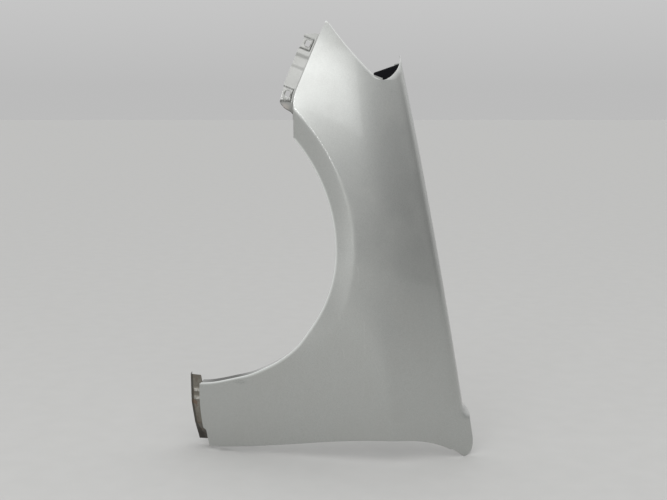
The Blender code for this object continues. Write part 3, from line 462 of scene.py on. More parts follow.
def flangeSection(z, cells):
    # offsets outwards and inboard across the flange at height z
    heights = flangeHeights()
    radius, ramp = skin["foldRadius"], flange["padRamp"]
    tuck = max(0.0, (heights["tuckTo"] - z) / flange["tuckLength"])
    start = radius * 2
    closeness = (1 + (size / 2 - abs(z - centre)) / ramp for centre, size in heights["pads"])
    onPad = max(0.0, *(min(1.0, share) for share in closeness))
    wide = flange["width"] + (flange["padWidth"] - flange["width"]) * onPad
    narrowing = (1 - tuck) ** flange["tuckPower"]
    width = start + flange["padMargin"] + (wide - start - flange["padMargin"]) * narrowing
    # the upper end is cut level, across rows that climb outwards
    width = min(width, max(start + flange["padMargin"], (heights["top"] - z) / math.sin(skin["bumperLean"])))
    sunk = min(flange["recessRamp"], z - heights["recessFrom"], heights["recessTo"] - z)
    sunk = float(smoothStep(max(0.0, sunk) / flange["recessRamp"]))
    depth = flange["setback"] + flange["recessDepth"] * sunk + flange["tuck"] * tuck
    turn = np.linspace(0.0, math.pi / 2, 6)
    bendIn = np.stack((radius * np.sin(turn), radius * (1 - np.cos(turn))), -1)[1:]
    bendBack = np.stack((radius * (2 - np.cos(turn)), depth - radius * (1 - np.sin(turn))), -1)
    out = np.linspace(start, width, cells + 1)[1:]
    inner = start + flange["padMargin"]
    across = np.clip((out - inner) / ramp, 0.0, 1.0)
    raised = smoothStep(onPad) * smoothStep(across)
    grooveAt, frameAt = flange["grooveAt"], flange["frameAt"]
    rim = smoothStep(1 - np.abs(across * onPad - grooveAt) / grooveAt) * (onPad > 0)
    frame = smoothStep(1.3 - np.abs(across * onPad - frameAt) / frameAt) * (onPad > 0)
    # painted shade along the free edge of the tuck
    free = smoothStep((out - width + flange["edgeShade"]) / flange["edgeFade"])
    frame = np.maximum(frame, free * min(1.0, tuck * 5))
    middle = flange["padWidth"] / 2 + flange["padMargin"]
    collar = 0.0
    for centre, _ in heights["pads"]:
        away = np.hypot(out - middle, z - centre)
        collar = collar + np.exp(-((away - flange["collarRadius"]) / flange["collarWidth"]) ** 2)
    inboard = depth - flange["padRaise"] * raised + flange["groove"] * rim
    inboard = inboard - flange["collar"] * collar * raised
    section = np.concatenate((bendIn, bendBack, np.stack((out, inboard), -1)))
    shade = np.concatenate((np.zeros(len(bendIn) + len(bendBack)), frame))
    return section, shade


def edgeFrames(rail, inner):
    # position, direction outwards in the surface and inward normal along an edge
    points = skinPoints(rail[:, 0], rail[:, 1])
    tangent = np.gradient(points, axis=0)
    inboard = inwardNormals(rail[:, 0], rail[:, 1])
    outward = np.cross(tangent, inboard)
    outward /= np.linalg.norm(outward, axis=1, keepdims=True)
    away = points - skinPoints(inner[:, 0], inner[:, 1])
    outward *= np.sign((outward * away).sum(1))[:, None]
    return points, outward, inboard


def singleFrame(s, z, step):
    # three points of an edge, whose middle one gives its frame
    return np.array([(s - step[0], z - step[1]), (s, z), (s + step[0], z + step[1])])


def padCentre(z):
    step = flange["centreStep"]
    s = float(sectionPosition(bumperX(z), z))
    rail = singleFrame(s, z, (float(sectionPosition(bumperX(z + step), z + step)) - s, step))
    at, outward, inboard = (a[1] for a in edgeFrames(rail, rail + (step, 0.0)))
    depth = flangeSection(z, 4)[0][-1, 1]
    return at + outward * (flange["padWidth"] / 2 + flange["padMargin"]) + inboard * depth, outward, inboard


def pick(columns, k):
    return np.array([column[k] for column in columns])


def pressingSheet():
    # the open sheet with its flange, and rails that mark the edges still to be folded
    points, faces, rails = [], [], {}

    def addPoints(array):
        start = sum(len(p) for p in points)
        points.append(array)
        return np.arange(start, start + len(array))

    def weave(first, second):
        quads = np.stack((first[:-1], second[:-1], second[1:], first[1:]), -1)
        faces.extend(quads.tolist())

    columns = panelColumns()
    nose = noseColumns(columns[-1])
    # the sill end bows outwards, with its lower corner cut away
    f = (columns[0][:, 1] - columns[0][0, 1]) / (columns[0][-1, 1] - columns[0][0, 1])
    full = smoothStep((f - skin["cornerCutAt"]) / skin["cornerCutOver"])
    columns[0][:, 0] -= skin["cornerBulge"] * f * (1 - full)
    columns[0][:, 0] += skin["cornerCut"] * full * (1 - f)
    prong = prongRows(columns[-1])
    body, noseIds, prongIds = (addPoints(skinPoints(*np.concatenate(patch).T)).reshape(len(patch), -1)
                               for patch in (columns, nose, prong))
    for chain in (body, [body[-1][:notchRow + 1], *noseIds], [body[-1][notchRow:], *prongIds]):
        for first, second in zip(chain, chain[1:]):
            weave(first, second)

    doorCount = grid["doorColumns"]
    start = doorCount + grid["earColumns"]
    corner = start + grid["bonnetColumns"]
    edge, edgeInner, rear, rearInner = (pick(columns, k) for k in (0, 1, -1, -2))
    rails["archEdge"] = (body[1:corner, 0], edge[1:corner], edgeInner[1:corner])
    rails["doorEdge"] = (body[4:doorCount - 4, -1], rear[4:doorCount - 4], rearInner[4:doorCount - 4])
    channel = prong[:grid["channelRows"]]
    rails["bonnetEdge"] = (np.concatenate((body[start:, -1], prongIds[:len(channel), -1])),
                           np.concatenate((rear[start:], pick(channel, -1))),
                           np.concatenate((rearInner[start:], pick(channel, -2))))
    rails["headlightEdge"] = (noseIds[:-2, -1], pick(nose[:-2], -1), pick(nose[:-2], -2))

    bumper = columns[corner + 1:] + nose
    ids = np.concatenate((body[corner + 1:, 0], noseIds[:, 0]))
    heights = flangeHeights()
    chosen = [i for i, c in enumerate(bumper) if heights["start"] <= c[0][1] <= heights["end"]]
    picked = [bumper[i] for i in chosen]
    at, outward, inboard = edgeFrames(pick(picked, 0), pick(picked, 1))
    previous = None
    shades = [np.full(body.size + noseIds.size + prongIds.size, -1.0)]
    for i, p, out, down in zip(chosen, at, outward, inboard):
        section, shade = flangeSection(bumper[i][0][1], flange["cells"])
        ring = addPoints(p + section[:, :1] * out + section[:, 1:] * down)
        shades.append(shade)
        ring = np.concatenate(([ids[i]], ring))
        if previous is not None:
            weave(ring, previous)
        previous = ring
    # below zero on the skin, and from 0 to 1 on the flange, where it marks lines of painted shade
    frames = np.concatenate(shades)
    # rows along the arch, headlight, tip and prong edges, which get a painted highlight
    brightRows = [np.concatenate((body[:corner, 0], noseIds[:, -1], noseIds[-1], prongIds[:, 0])),
                  np.concatenate((body[:corner, 1], noseIds[:, -2], noseIds[-2]))]
    return np.concatenate(points), faces, rails, frames, brightRows


# Helpers for node trees

def place(tree, kind, values=None, **settings):
    # adds a node, and sets or links each of its inputs
    new = tree.nodes.new(kind)
    for name, value in settings.items():
        setattr(new, name, value)
    for key, value in (values or {}).items():
        socket = new.inputs[key]
        if isinstance(value, bpy.types.NodeSocket):
            tree.links.new(value, socket)
        else:
            socket.default_value = value
    return new


def mathNode(tree, operation, a, b=0.0, clamp=False):
    return place(tree, "ShaderNodeMath", {0: a, 1: b}, operation=operation, use_clamp=clamp).outputs[0]


def plus(tree, a, b):
    return mathNode(tree, "ADD", a, b)


def minus(tree, a, b, clamp=False):
    return mathNode(tree, "SUBTRACT", a, b, clamp)


def times(tree, a, b):
    return mathNode(tree, "MULTIPLY", a, b)


def divided(tree, a, b, clamp=False):
    return mathNode(tree, "DIVIDE", a, b, clamp)


def scaled(tree, vector, amount):
    return place(tree, "ShaderNodeVectorMath", {0: vector, "Scale": amount}, operation="SCALE").outputs[0]


# Geometry Nodes: an edge folded over in steps, and holes punched along a row

def newGeometryTree(name, inputs):
    tree = bpy.data.node_groups.new(name, "GeometryNodeTree")
    tree.interface.new_socket("Geometry", in_out="INPUT", socket_type="NodeSocketGeometry")
    for label, kind in inputs.items():
        tree.interface.new_socket(label, in_out="INPUT", socket_type="NodeSocket" + kind)
    tree.interface.new_socket("Geometry", in_out="OUTPUT", socket_type="NodeSocketGeometry")
    return tree, place(tree, "NodeGroupInput"), place(tree, "NodeGroupOutput")


def addModifier(thing, tree, values):
    modifier = thing.modifiers.new(tree.name, "NODES")
    modifier.node_group = tree
    for item in tree.interface.items_tree:
        if item.in_out == "INPUT" and item.name in values:
            modifier[item.identifier] = values[item.name]


def namedValue(tree, name, kind):
    return place(tree, "GeometryNodeInputNamedAttribute", {"Name": name}, data_type=kind).outputs[0]


def foldTree():
    tree, given, result = newGeometryTree("foldedEdge", {
        "Rail": "String", "Start": "Float", "Turn": "Float", "Radius": "Float", "Steps": "Int",
        "Flat": "Float", "Flat steps": "Int"})
    steps, flatSteps = given.outputs["Steps"], given.outputs["Flat steps"]
    outward, inboard = (namedValue(tree, name, "FLOAT_VECTOR") for name in ("outward", "inboard"))
    each = divided(tree, minus(tree, given.outputs["Turn"], namedValue(tree, "lean", "FLOAT")), steps)
    sine = mathNode(tree, "SINE", times(tree, each, 0.5))
    chord = times(tree, times(tree, mathNode(tree, "ABSOLUTE", sine), given.outputs["Radius"]), 2.0)
    flatStep = divided(tree, given.outputs["Flat"], flatSteps)

    begin = tree.nodes.new("GeometryNodeRepeatInput")
    end = tree.nodes.new("GeometryNodeRepeatOutput")
    begin.pair_with_output(end)
    end.repeat_items.new("BOOLEAN", "Edge")
    tree.links.new(plus(tree, steps, flatSteps), begin.inputs["Iterations"])
    tree.links.new(given.outputs["Geometry"], begin.inputs["Geometry"])
    tree.links.new(namedValue(tree, given.outputs["Rail"], "BOOLEAN"), begin.inputs["Edge"])
    step = begin.outputs["Iteration"]
    bending = mathNode(tree, "LESS_THAN", step, steps)
    turned = times(tree, mathNode(tree, "MINIMUM", plus(tree, step, 0.5), steps), each)
    angle = plus(tree, turned, given.outputs["Start"])
    reach = place(tree, "ShaderNodeMix", {0: bending, 2: flatStep, 3: chord}).outputs[0]
    parts = [scaled(tree, direction, times(tree, mathNode(tree, operation, angle), reach))
             for direction, operation in ((outward, "COSINE"), (inboard, "SINE"))]
    offset = place(tree, "ShaderNodeVectorMath", {0: parts[0], 1: parts[1]})
    pulled = place(tree, "GeometryNodeExtrudeMesh", {
        "Mesh": begin.outputs["Geometry"], "Selection": begin.outputs["Edge"], "Offset Scale": 0.0},
        mode="EDGES")
    moved = place(tree, "GeometryNodeSetPosition", {
        "Geometry": pulled.outputs["Mesh"], "Selection": pulled.outputs["Top"], "Offset": offset.outputs[0]})
    marked = place(tree, "GeometryNodeStoreNamedAttribute", {
        "Geometry": moved.outputs[0], "Selection": pulled.outputs["Top"], "Name": "fold",
        "Value": divided(tree, plus(tree, step, 1.0), steps, True)}, data_type="FLOAT", domain="POINT")
    tree.links.new(marked.outputs[0], end.inputs["Geometry"])
    tree.links.new(pulled.outputs["Top"], end.inputs["Edge"])
    kept = place(tree, "GeometryNodeStoreNamedAttribute", {
        "Geometry": end.outputs["Geometry"], "Name": given.outputs["Rail"], "Value": end.outputs["Edge"]},
        data_type="BOOLEAN", domain="EDGE")
    tree.links.new(kept.outputs[0], result.inputs[0])
    return tree


def punchTree():
    # cuts a rounded post through the sheet at every point of another object, along its axis
    tree, given, result = newGeometryTree("punchedHoles", {
        "Places": "Object", "Radius": "Float", "Depth": "Float", "Sides": "Int", "Finish": "Material"})
    number = place(tree, "GeometryNodeInputMaterialIndex")
    tagged = place(tree, "GeometryNodeStoreNamedAttribute", {
        "Geometry": given.outputs["Geometry"], "Name": "inside", "Value": number.outputs[0]},
        data_type="FLOAT", domain="FACE")
    places = place(tree, "GeometryNodeObjectInfo", {"Object": given.outputs["Places"]})
    axis = namedValue(tree, "axis", "FLOAT_VECTOR")
    turn = place(tree, "FunctionNodeAlignRotationToVector", {"Vector": axis}, axis="Z")
    post = place(tree, "GeometryNodeMeshCylinder", {
        name: given.outputs[source]
        for name, source in (("Vertices", "Sides"), ("Radius", "Radius"), ("Depth", "Depth"))})
    posts = place(tree, "GeometryNodeInstanceOnPoints", {
        "Points": places.outputs["Geometry"], "Instance": post.outputs["Mesh"], "Rotation": turn.outputs[0]})
    real = place(tree, "GeometryNodeRealizeInstances", {"Geometry": posts.outputs[0]})
    cut = place(tree, "GeometryNodeMeshBoolean", {"Mesh 1": tagged.outputs[0], "Mesh 2": real.outputs[0]},
                operation="DIFFERENCE", solver="EXACT")
    whole = place(tree, "GeometryNodeRealizeInstances", {"Geometry": cut.outputs["Mesh"]})
    done = place(tree, "GeometryNodeSetMaterial", {
        "Geometry": whole.outputs[0], "Material": given.outputs["Finish"]})
    tree.links.new(done.outputs[0], result.inputs[0])
    return tree


foldedEdge = foldTree()
punchedHoles = punchTree()
print("edge and hole trees ready")


# Shader groups and finishes

def newShaderGroup(name, inputs, outputs):
    tree = bpy.data.node_groups.new(name, "ShaderNodeTree")
    for label, kind, value in inputs:
        socket = tree.interface.new_socket(label, in_out="INPUT", socket_type=kind)
        socket.default_value = value
    for label, kind in outputs:
        tree.interface.new_socket(label, in_out="OUTPUT", socket_type=kind)
    return tree, place(tree, "NodeGroupInput"), place(tree, "NodeGroupOutput")


def remap(tree, value, low, high, toLow=0.0, toHigh=1.0):
    return place(tree, "ShaderNodeMapRange", {
        "Value": value, "From Min": low, "From Max": high, "To Min": toLow, "To Max": toHigh}).outputs[0]


def mixColour(tree, share, a, b):
    return place(tree, "ShaderNodeMix", {0: share, 6: a, 7: b}, data_type="RGBA").outputs[2]


def noise(tree, where, scale, detail=3.0, roughness=0.5):
    return place(tree, "ShaderNodeTexNoise", {
        "Vector": where, "Scale": scale, "Detail": detail, "Roughness": roughness}).outputs["Fac"]


def tint(tree, colour, mask, share, shade):
    # lays a plain shade over the colour, as thick as share where the mask is full
    return mixColour(tree, times(tree, mask, share), colour, (*shade, 1.0))


def dustGroup():
    # patchy film of dust and handling, and fine dry scratches
    tree, given, result = newShaderGroup("dustAndHandling", (
        ("Patch size", "NodeSocketFloat", 0.1), ("Scratch size", "NodeSocketFloat", 0.02)),
        (("Film", "NodeSocketFloat"), ("Scratches", "NodeSocketFloat")))
    where = place(tree, "ShaderNodeTexCoord").outputs["Object"]
    patchScale = divided(tree, 1.0, given.outputs["Patch size"])
    film = remap(tree, noise(tree, where, patchScale, 6.0, 0.62), 0.42, 0.72)
    stretched = place(tree, "ShaderNodeMapping", {
        "Vector": where, "Rotation": (0.3, 0.5, 0.2), "Scale": (1.0, 1.0, 0.12)}).outputs[0]
    lines = noise(tree, stretched, divided(tree, 1.0, given.outputs["Scratch size"]), 2.0, 0.4)
    lines = remap(tree, mathNode(tree, "ABSOLUTE", minus(tree, lines, 0.5)), 0.0, 0.006, 1.0, 0.0)
    gate = remap(tree, noise(tree, where, patchScale, 2.0), 0.56, 0.66)
    tree.links.new(film, result.inputs["Film"])
    tree.links.new(times(tree, lines, gate), result.inputs["Scratches"])
    return tree


dustAndHandling = dustGroup()


def addDust(tree, patchSize, scratchSize):
    dust = place(tree, "ShaderNodeGroup", {}, node_tree=dustAndHandling)
    dust.inputs["Patch size"].default_value = patchSize
    dust.inputs["Scratch size"].default_value = scratchSize
    return dust.outputs["Film"], dust.outputs["Scratches"]


def newFinish(name, colour):
    material = bpy.data.materials.new(name)
    material.use_nodes = True
    material.diffuse_color = (*colour, 1.0)
    tree = material.node_tree
    where = place(tree, "ShaderNodeTexCoord").outputs["Object"]
    return material, tree, tree.nodes["Principled BSDF"], where


def feed(tree, shader, values):
    for name, value in values.items():
        tree.links.new(value, shader.inputs[name])


def addBump(tree, shader, height, strength, distance):
    bump = place(tree, "ShaderNodeBump", {"Height": height, "Strength": strength, "Distance": distance})
    feed(tree, shader, {"Normal": bump.outputs[0]})


def attributeMask(tree, name):
    return place(tree, "ShaderNodeAttribute", attribute_name=name).outputs["Fac"]


def spotMask(tree, where, centre, size):
    # soft ellipsoid round a point of the piece
    local = place(tree, "ShaderNodeVectorMath", {0: where, 1: centre}, operation="SUBTRACT").outputs[0]
    local = place(tree, "ShaderNodeVectorMath", {0: local, 1: size}, operation="DIVIDE").outputs[0]
    length = place(tree, "ShaderNodeVectorMath", {0: local}, operation="LENGTH").outputs["Value"]
    return remap(tree, length, 0.35, 1.0, 1.0, 0.0)


paint = {
    "base": (0.500, 0.512, 0.496), "flakeScale": 1500.0, "flakeDark": 0.86, "flakeBright": 1.12,
    "dustPatch": 0.09, "scratchSize": 0.05, "cloudScale": 5.0, "peelFine": 330.0, "peelCoarse": 60.0,
    "roughness": 0.33, "metal": 0.86, "coatRoughness": 0.06, "coatIor": 1.5,
    "edge": (0.86, 0.88, 0.86), "primer": (0.30, 0.31, 0.305), "dustyPrimer": (0.23, 0.22, 0.20),
    "flange": (0.36, 0.36, 0.345), "paintedShadeLines": (0.050, 0.052, 0.046), "tuckPrimer": (0.86, 0.76, 0.70),
    "rust": (0.075, 0.030, 0.022), "darkLip": (0.055, 0.055, 0.050),
    # soft spots, as their centres and half sizes
    "darkLipSpot": ((-0.270, -0.04, 0.190), (0.150, 0.20, 0.075)),
    "rustSpot": ((-0.108, 0.0, 0.886), (0.030, 0.08, 0.026)),
    "tuckSpot": ((-0.117, 0.0, 0.914), (0.022, 0.06, 0.019)),
    "ringSize": (0.0112, 0.03, 0.0125),
    "darkMarkSpots": (((-0.240, -0.03, 0.200), (0.022, 0.06, 0.009)),
                   ((0.153, -0.05, 0.955), (0.010, 0.06, 0.006))),
}


def silverPaintFinish():
    material, tree, shader, where = newFinish("silverPaint", (0.52, 0.54, 0.53))
    film, scratches = addDust(tree, paint["dustPatch"], paint["scratchSize"])
    inside, fold, onFlange = (attributeMask(tree, name) for name in ("inside", "fold", "onFlange"))
    edge = times(tree, attributeMask(tree, "edgeHighlight"), remap(tree, fold, 0.5, 1.0, 1.0, 0.0))
    flakes = place(tree, "ShaderNodeTexVoronoi", {"Vector": where, "Scale": paint["flakeScale"]})
    sparkle = place(tree, "ShaderNodeSeparateColor", {0: flakes.outputs["Color"]}).outputs[0]
    shade = remap(tree, sparkle, 0.0, 1.0, paint["flakeDark"], paint["flakeBright"])
    cloud = remap(tree, noise(tree, where, paint["cloudScale"], 3.0), 0.3, 0.7)
    colour = tint(tree, scaled(tree, paint["base"], shade), cloud, 0.10, (0.44, 0.455, 0.44))
    colour = tint(tree, colour, film, 0.16, (0.46, 0.45, 0.42))
    colour = tint(tree, colour, scratches, 0.25, (0.68, 0.69, 0.68))
    # painted highlight: the edge rows are painted pale and less metallic, as light on the bend
    colour = tint(tree, colour, edge, 0.85, paint["edge"])
    # the arch lip over the sill leg is made darker, duller and rougher
    darkLip = times(tree, spotMask(tree, where, *paint["darkLipSpot"]), remap(tree, fold, 0.6, 1.0))
    colour = tint(tree, colour, darkLip, 0.9, paint["darkLip"])
    # the inboard side carries thin paint over grey primer, with dust
    backing = mixColour(tree, film, (*paint["primer"], 1.0), (*paint["dustyPrimer"], 1.0))
    colour = mixColour(tree, times(tree, inside, 0.8), colour, backing)
    colour = tint(tree, colour, onFlange, 0.55, paint["flange"])
    # painted shade in lines round the pads and along the tuck's edge, and painted shade round the clip holes
    frameLine = times(tree, attributeMask(tree, "frame"), remap(tree, noise(tree, where, 240.0), 0.3, 0.5))
    # painted shade: the frame lines are painted near black
    colour = tint(tree, colour, frameLine, 0.85, paint["paintedShadeLines"])
    # painted shade: a dark ring round each clip hole stands in for the shade inside it
    for z, _ in flangeHeights()["pads"]:
        ring = times(tree, spotMask(tree, where, tuple(padCentre(z)[0]), paint["ringSize"]), onFlange)
        colour = tint(tree, colour, ring, 1.3, (0.085, 0.085, 0.075))
    # pale primer in the tuck of the bumper flange, and rust below it
    pale = times(tree, onFlange, spotMask(tree, where, *paint["tuckSpot"]))
    pale = times(tree, pale, minus(tree, 1.0, frameLine))
    colour = tint(tree, colour, pale, 0.85, paint["tuckPrimer"])
    rust = remap(tree, noise(tree, where, 160.0, 4.0), 0.35, 0.6)
    rust = times(tree, times(tree, spotMask(tree, where, *paint["rustSpot"]), rust), onFlange)
    colour = tint(tree, colour, rust, 1.0, paint["rust"])
    # small darker marks at the sill leg and under the notch
    markBreakup = remap(tree, noise(tree, where, 420.0, 3.0, 0.7), 0.48, 0.58)
    for centre, size in paint["darkMarkSpots"]:
        darkMark = times(tree, spotMask(tree, where, centre, size), markBreakup)
        colour = tint(tree, colour, darkMark, 0.55, (0.16, 0.17, 0.165))
    rough = plus(tree, paint["roughness"], times(tree, film, 0.08))
    rough = plus(tree, rough, times(tree, inside, 0.18))
    rough = plus(tree, rough, times(tree, mathNode(tree, "MAXIMUM", onFlange, darkLip), 0.15))
    dull = mathNode(tree, "MAXIMUM", darkLip, mathNode(tree, "MAXIMUM", pale, frameLine))
    metal = minus(tree, paint["metal"], times(tree, inside, 0.5))
    metal = minus(tree, metal, times(tree, edge, 0.35))
    metal = minus(tree, metal, times(tree, dull, 0.7), True)
    coat = minus(tree, 1.0, times(tree, inside, 0.85))
    coat = times(tree, coat, remap(tree, film, 0.0, 1.0, 1.0, 0.85))
    coat = minus(tree, coat, times(tree, dull, 0.9), True)
    feed(tree, shader, {
        "Base Color": colour, "Roughness": plus(tree, rough, times(tree, rust, 0.3)),
        "Metallic": minus(tree, metal, rust, True), "Coat Weight": minus(tree, coat, rust, True)})
    shader.inputs["Coat Roughness"].default_value = paint["coatRoughness"]
    shader.inputs["Coat IOR"].default_value = paint["coatIor"]
    peel = times(tree, noise(tree, where, paint["peelCoarse"]), 0.6)
    addBump(tree, shader, plus(tree, noise(tree, where, paint["peelFine"], 2.0), peel), 0.06, 0.0004)
    return material


primer = {
    "light": (0.235, 0.225, 0.195), "dark": (0.135, 0.118, 0.095), "dustPatch": 0.035, "scratchSize": 0.02,
    "mottleScale": 55.0, "rustScale": 90.0, "rust": (0.145, 0.060, 0.026), "scratch": (0.52, 0.50, 0.47),
    "rim": (0.040, 0.038, 0.032), "bareCrestHighlight": (0.74, 0.73, 0.69), "ribRust": (0.17, 0.075, 0.030),
    "ribRustSpot": ((-0.362, 0.0, 0.131), (0.014, 0.08, 0.011)), "foot": (0.045, 0.040, 0.034),
}


def primedSteelFinish():
    material, tree, shader, where = newFinish("primedSteel", (0.30, 0.25, 0.21))
    _, scratches = addDust(tree, primer["dustPatch"], primer["scratchSize"])
    mottled = noise(tree, where, primer["mottleScale"], 6.0, 0.6)
    colour = mixColour(tree, remap(tree, mottled, 0.35, 0.7), (*primer["light"], 1.0), (*primer["dark"], 1.0))
    height = place(tree, "ShaderNodeSeparateXYZ", {0: where}).outputs["Z"]
    rust = remap(tree, noise(tree, where, primer["rustScale"], 8.0, 0.7), 0.54, 0.66)
    rust = times(tree, rust, remap(tree, height, 0.20, 0.05, 0.35, 1.0))
    colour = tint(tree, colour, rust, 1.0, primer["rust"])
    colour = tint(tree, colour, scratches, 0.5, primer["scratch"])
    colour = tint(tree, colour, attributeMask(tree, "rimShade"), 0.7, primer["rim"])
    # bare worn crests of the ribs with a painted highlight, and rust under them
    bareCrestHighlight = remap(tree, attributeMask(tree, "crest"), 0.55, 1.10)
    bareCrestHighlight = times(tree, bareCrestHighlight, remap(tree, noise(tree, where, 130.0, 3.0), 0.35, 0.62))
    colour = tint(tree, colour, bareCrestHighlight, 0.9, primer["bareCrestHighlight"])
    under = times(tree, spotMask(tree, where, *primer["ribRustSpot"]), remap(tree, mottled, 0.40, 0.55))
    colour = tint(tree, colour, under, 1.0, primer["ribRust"])
    # painted shade: the plate is painted darker towards its bent foot at the bottom
    colour = tint(tree, colour, remap(tree, height, 0.075, 0.035), 0.75, primer["foot"])
    rough = remap(tree, mathNode(tree, "MAXIMUM", rust, under), 0.0, 1.0, 0.42, 0.85)
    feed(tree, shader, {
        "Base Color": colour, "Roughness": minus(tree, rough, times(tree, bareCrestHighlight, 0.12)),
        "Metallic": remap(tree, rust, 0.0, 1.0, 0.55, 0.05)})
    pits = plus(tree, mottled, times(tree, noise(tree, where, 500.0, 3.0), 0.4))
    addBump(tree, shader, pits, 0.35, 0.0006)
    return material


def blackFoamFinish():
    material, tree, shader, where = newFinish("blackFoam", (0.012, 0.013, 0.016))
    cells = place(tree, "ShaderNodeTexVoronoi", {"Vector": where, "Scale": 700.0}).outputs["Distance"]
    dusty = remap(tree, noise(tree, where, 40.0, 5.0), 0.45, 0.7)
    colour = mixColour(tree, remap(tree, cells, 0.1, 0.6), (0.0085, 0.0090, 0.0125, 1.0),
                       (0.0035, 0.0037, 0.0055, 1.0))
    colour = tint(tree, colour, dusty, 0.25, (0.022, 0.022, 0.025))
    feed(tree, shader, {"Base Color": colour, "Roughness": remap(tree, dusty, 0.0, 1.0, 0.85, 0.97)})
    shader.inputs["Specular IOR Level"].default_value = 0.15
    addBump(tree, shader, cells, 0.5, 0.0008)
    return material


silverPaint = silverPaintFinish()
primedSteel = primedSteelFinish()
blackFoam = blackFoamFinish()
print("finishes ready")


# Helpers that turn arrays into pieces

def newObject(name, points, faces, material=None):
    mesh = bpy.data.meshes.new(name)
    mesh.from_pydata([tuple(p) for p in points], [], faces)
    if material:
        mesh.materials.append(material)
    thing = bpy.data.objects.new(name, mesh)
    bpy.context.scene.collection.objects.link(thing)
    return thing


def tubeFaces(levels, count):
    # walls between rings of count points, and a cap at each end
    faces = []
    for k in range(levels):
        for i in range(count):
            a, b = k * count + i, k * count + (i + 1) % count
            faces.append([a, b, b + count, a + count])
    last = levels * count
    return faces + [list(range(count)), list(range(last, last + count))]


def editMesh(thing, change):
    bm = bmesh.new()
    bm.from_mesh(thing.data)
    change(bm)
    bm.to_mesh(thing.data)
    bm.free()


def turnOutwards(bm):
    bmesh.ops.recalc_face_normals(bm, faces=bm.faces)


def faceCamera(bm):
    # an open sheet looks away from the car, towards -Y
    turnOutwards(bm)
    bm.normal_update()
    if sum(face.normal.y * face.calc_area() for face in bm.faces) > 0:
        bmesh.ops.reverse_faces(bm, faces=bm.faces)


def dropLoosePoints(bm):
    bmesh.ops.delete(bm, geom=[v for v in bm.verts if not v.link_faces], context="VERTS")


def store(thing, name, kind, values, domain="POINT"):
    field = "vector" if kind == "FLOAT_VECTOR" else "value"
    thing.data.attributes.new(name, kind, domain).data.foreach_set(field, np.ravel(values))


def addWall(thing, gauge):
    # gives an open sheet its thickness, inboard of the given face
    wall = thing.modifiers.new("Gauge", "SOLIDIFY")
    wall.thickness = gauge
    wall.offset = -1.0
    wall.use_even_offset = True
    return wall


def settle(thing, name, sharp=35):
    # plain mesh from the evaluated object, which is then removed
    bpy.context.view_layer.update()
    evaluated = thing.evaluated_get(bpy.context.evaluated_depsgraph_get())
    mesh = bpy.data.meshes.new_from_object(evaluated)
    mesh.name = name
    piece = bpy.data.objects.new(name, mesh)
    bpy.context.scene.collection.objects.link(piece)
    bpy.data.objects.remove(thing, do_unlink=True)
    mesh.shade_smooth()
    mesh.set_sharp_from_angle(angle=math.radians(sharp))
    return piece


def keepInBox(piece):
    # trims the fraction of a millimetre by which finer folds pass the rigid form's box
    count = len(piece.data.vertices)
    places = np.empty(count * 3)
    piece.data.vertices.foreach_get("co", places)
    low, high = (np.array(corner) for corner in cadBox)
    places = np.clip(places.reshape(-1, 3), low, high)
    piece.data.vertices.foreach_set("co", places.ravel())
    piece.data.update()


def punchPlaces(name, centres, axes):
    thing = newObject(name, centres, [])
    store(thing, "axis", "FLOAT_VECTOR", np.asarray(axes, float))
    thing.hide_render = True
    return thing


holes = {
    "boltRadius": 0.0045, "ledgeCount": 4, "ledgeFirstZ": 0.250, "ledgePitch": 0.205,
    "prongDrop": 0.032, "doorX": (-0.264, 0.211), "postDepth": 0.008, "sides": 48, "edgeStep": 0.010,
}


def punch(sheet, places, radius, finish):
    addModifier(sheet, punchedHoles, {"Places": places, "Radius": radius, "Depth": holes["postDepth"],
                                      "Sides": holes["sides"], "Finish": finish})


def boltPlaces():
    centres, axes = [], []
    step = holes["edgeStep"]
    heights = [holes["ledgeFirstZ"] + holes["ledgePitch"] * k for k in range(holes["ledgeCount"])]
    for z in heights + [prongZ - holes["prongDrop"]]:
        rail = singleFrame(edgeS, z, (0.0, step))
        inner = np.column_stack((np.full(3, skin["shoulderRoll"]), rail[:, 1]))
        at, outward, inboard = (a[1] for a in edgeFrames(rail, inner))
        centres.append(at + outward * (2 * skin["foldRadius"] + skin["ledgeWidth"] / 2)
                       + inboard * skin["channelDepth"])
        axes.append(inboard)
    door = doorEdge()
    for x in holes["doorX"]:
        z, beside = np.interp([x, x + step], door[:, 0], door[:, 1])
        s = float(sectionPosition(x, z))
        rail = singleFrame(s, z, (float(sectionPosition(x + step, beside)) - s, beside - z))
        at, outward, inboard = (a[1] for a in edgeFrames(rail, rail + (0.0, step)))
        centres.append(at + outward * skin["foldRadius"]
                       + inboard * (skin["foldRadius"] + skin["doorReturn"]) / 2)
        axes.append(outward)
    return punchPlaces("boltPlaces", centres, axes)


def clipPost(z):
    # square post with rounded corners through the middle of a clip pad
    centre, outward, inboard = padCentre(z)
    up = np.cross(inboard, outward)
    half = np.array([flange["holeWidth"], flange["holeHeight"]]) / 2
    corner = holes["boltRadius"] / 2
    turn = np.linspace(0.0, 2 * math.pi, 48, endpoint=False) + math.pi / 48
    flat = np.stack((np.cos(turn), np.sin(turn)), -1) * corner
    flat += np.sign(flat) * (half - corner)
    rings = []
    for side in (-0.5, 0.5):
        ring = centre + flat[:, :1] * outward + flat[:, 1:] * up + side * holes["postDepth"] * inboard
        rings.append(ring)
    post = newObject("clipPost", np.concatenate(rings), tubeFaces(1, len(turn)))
    editMesh(post, turnOutwards)
    return post


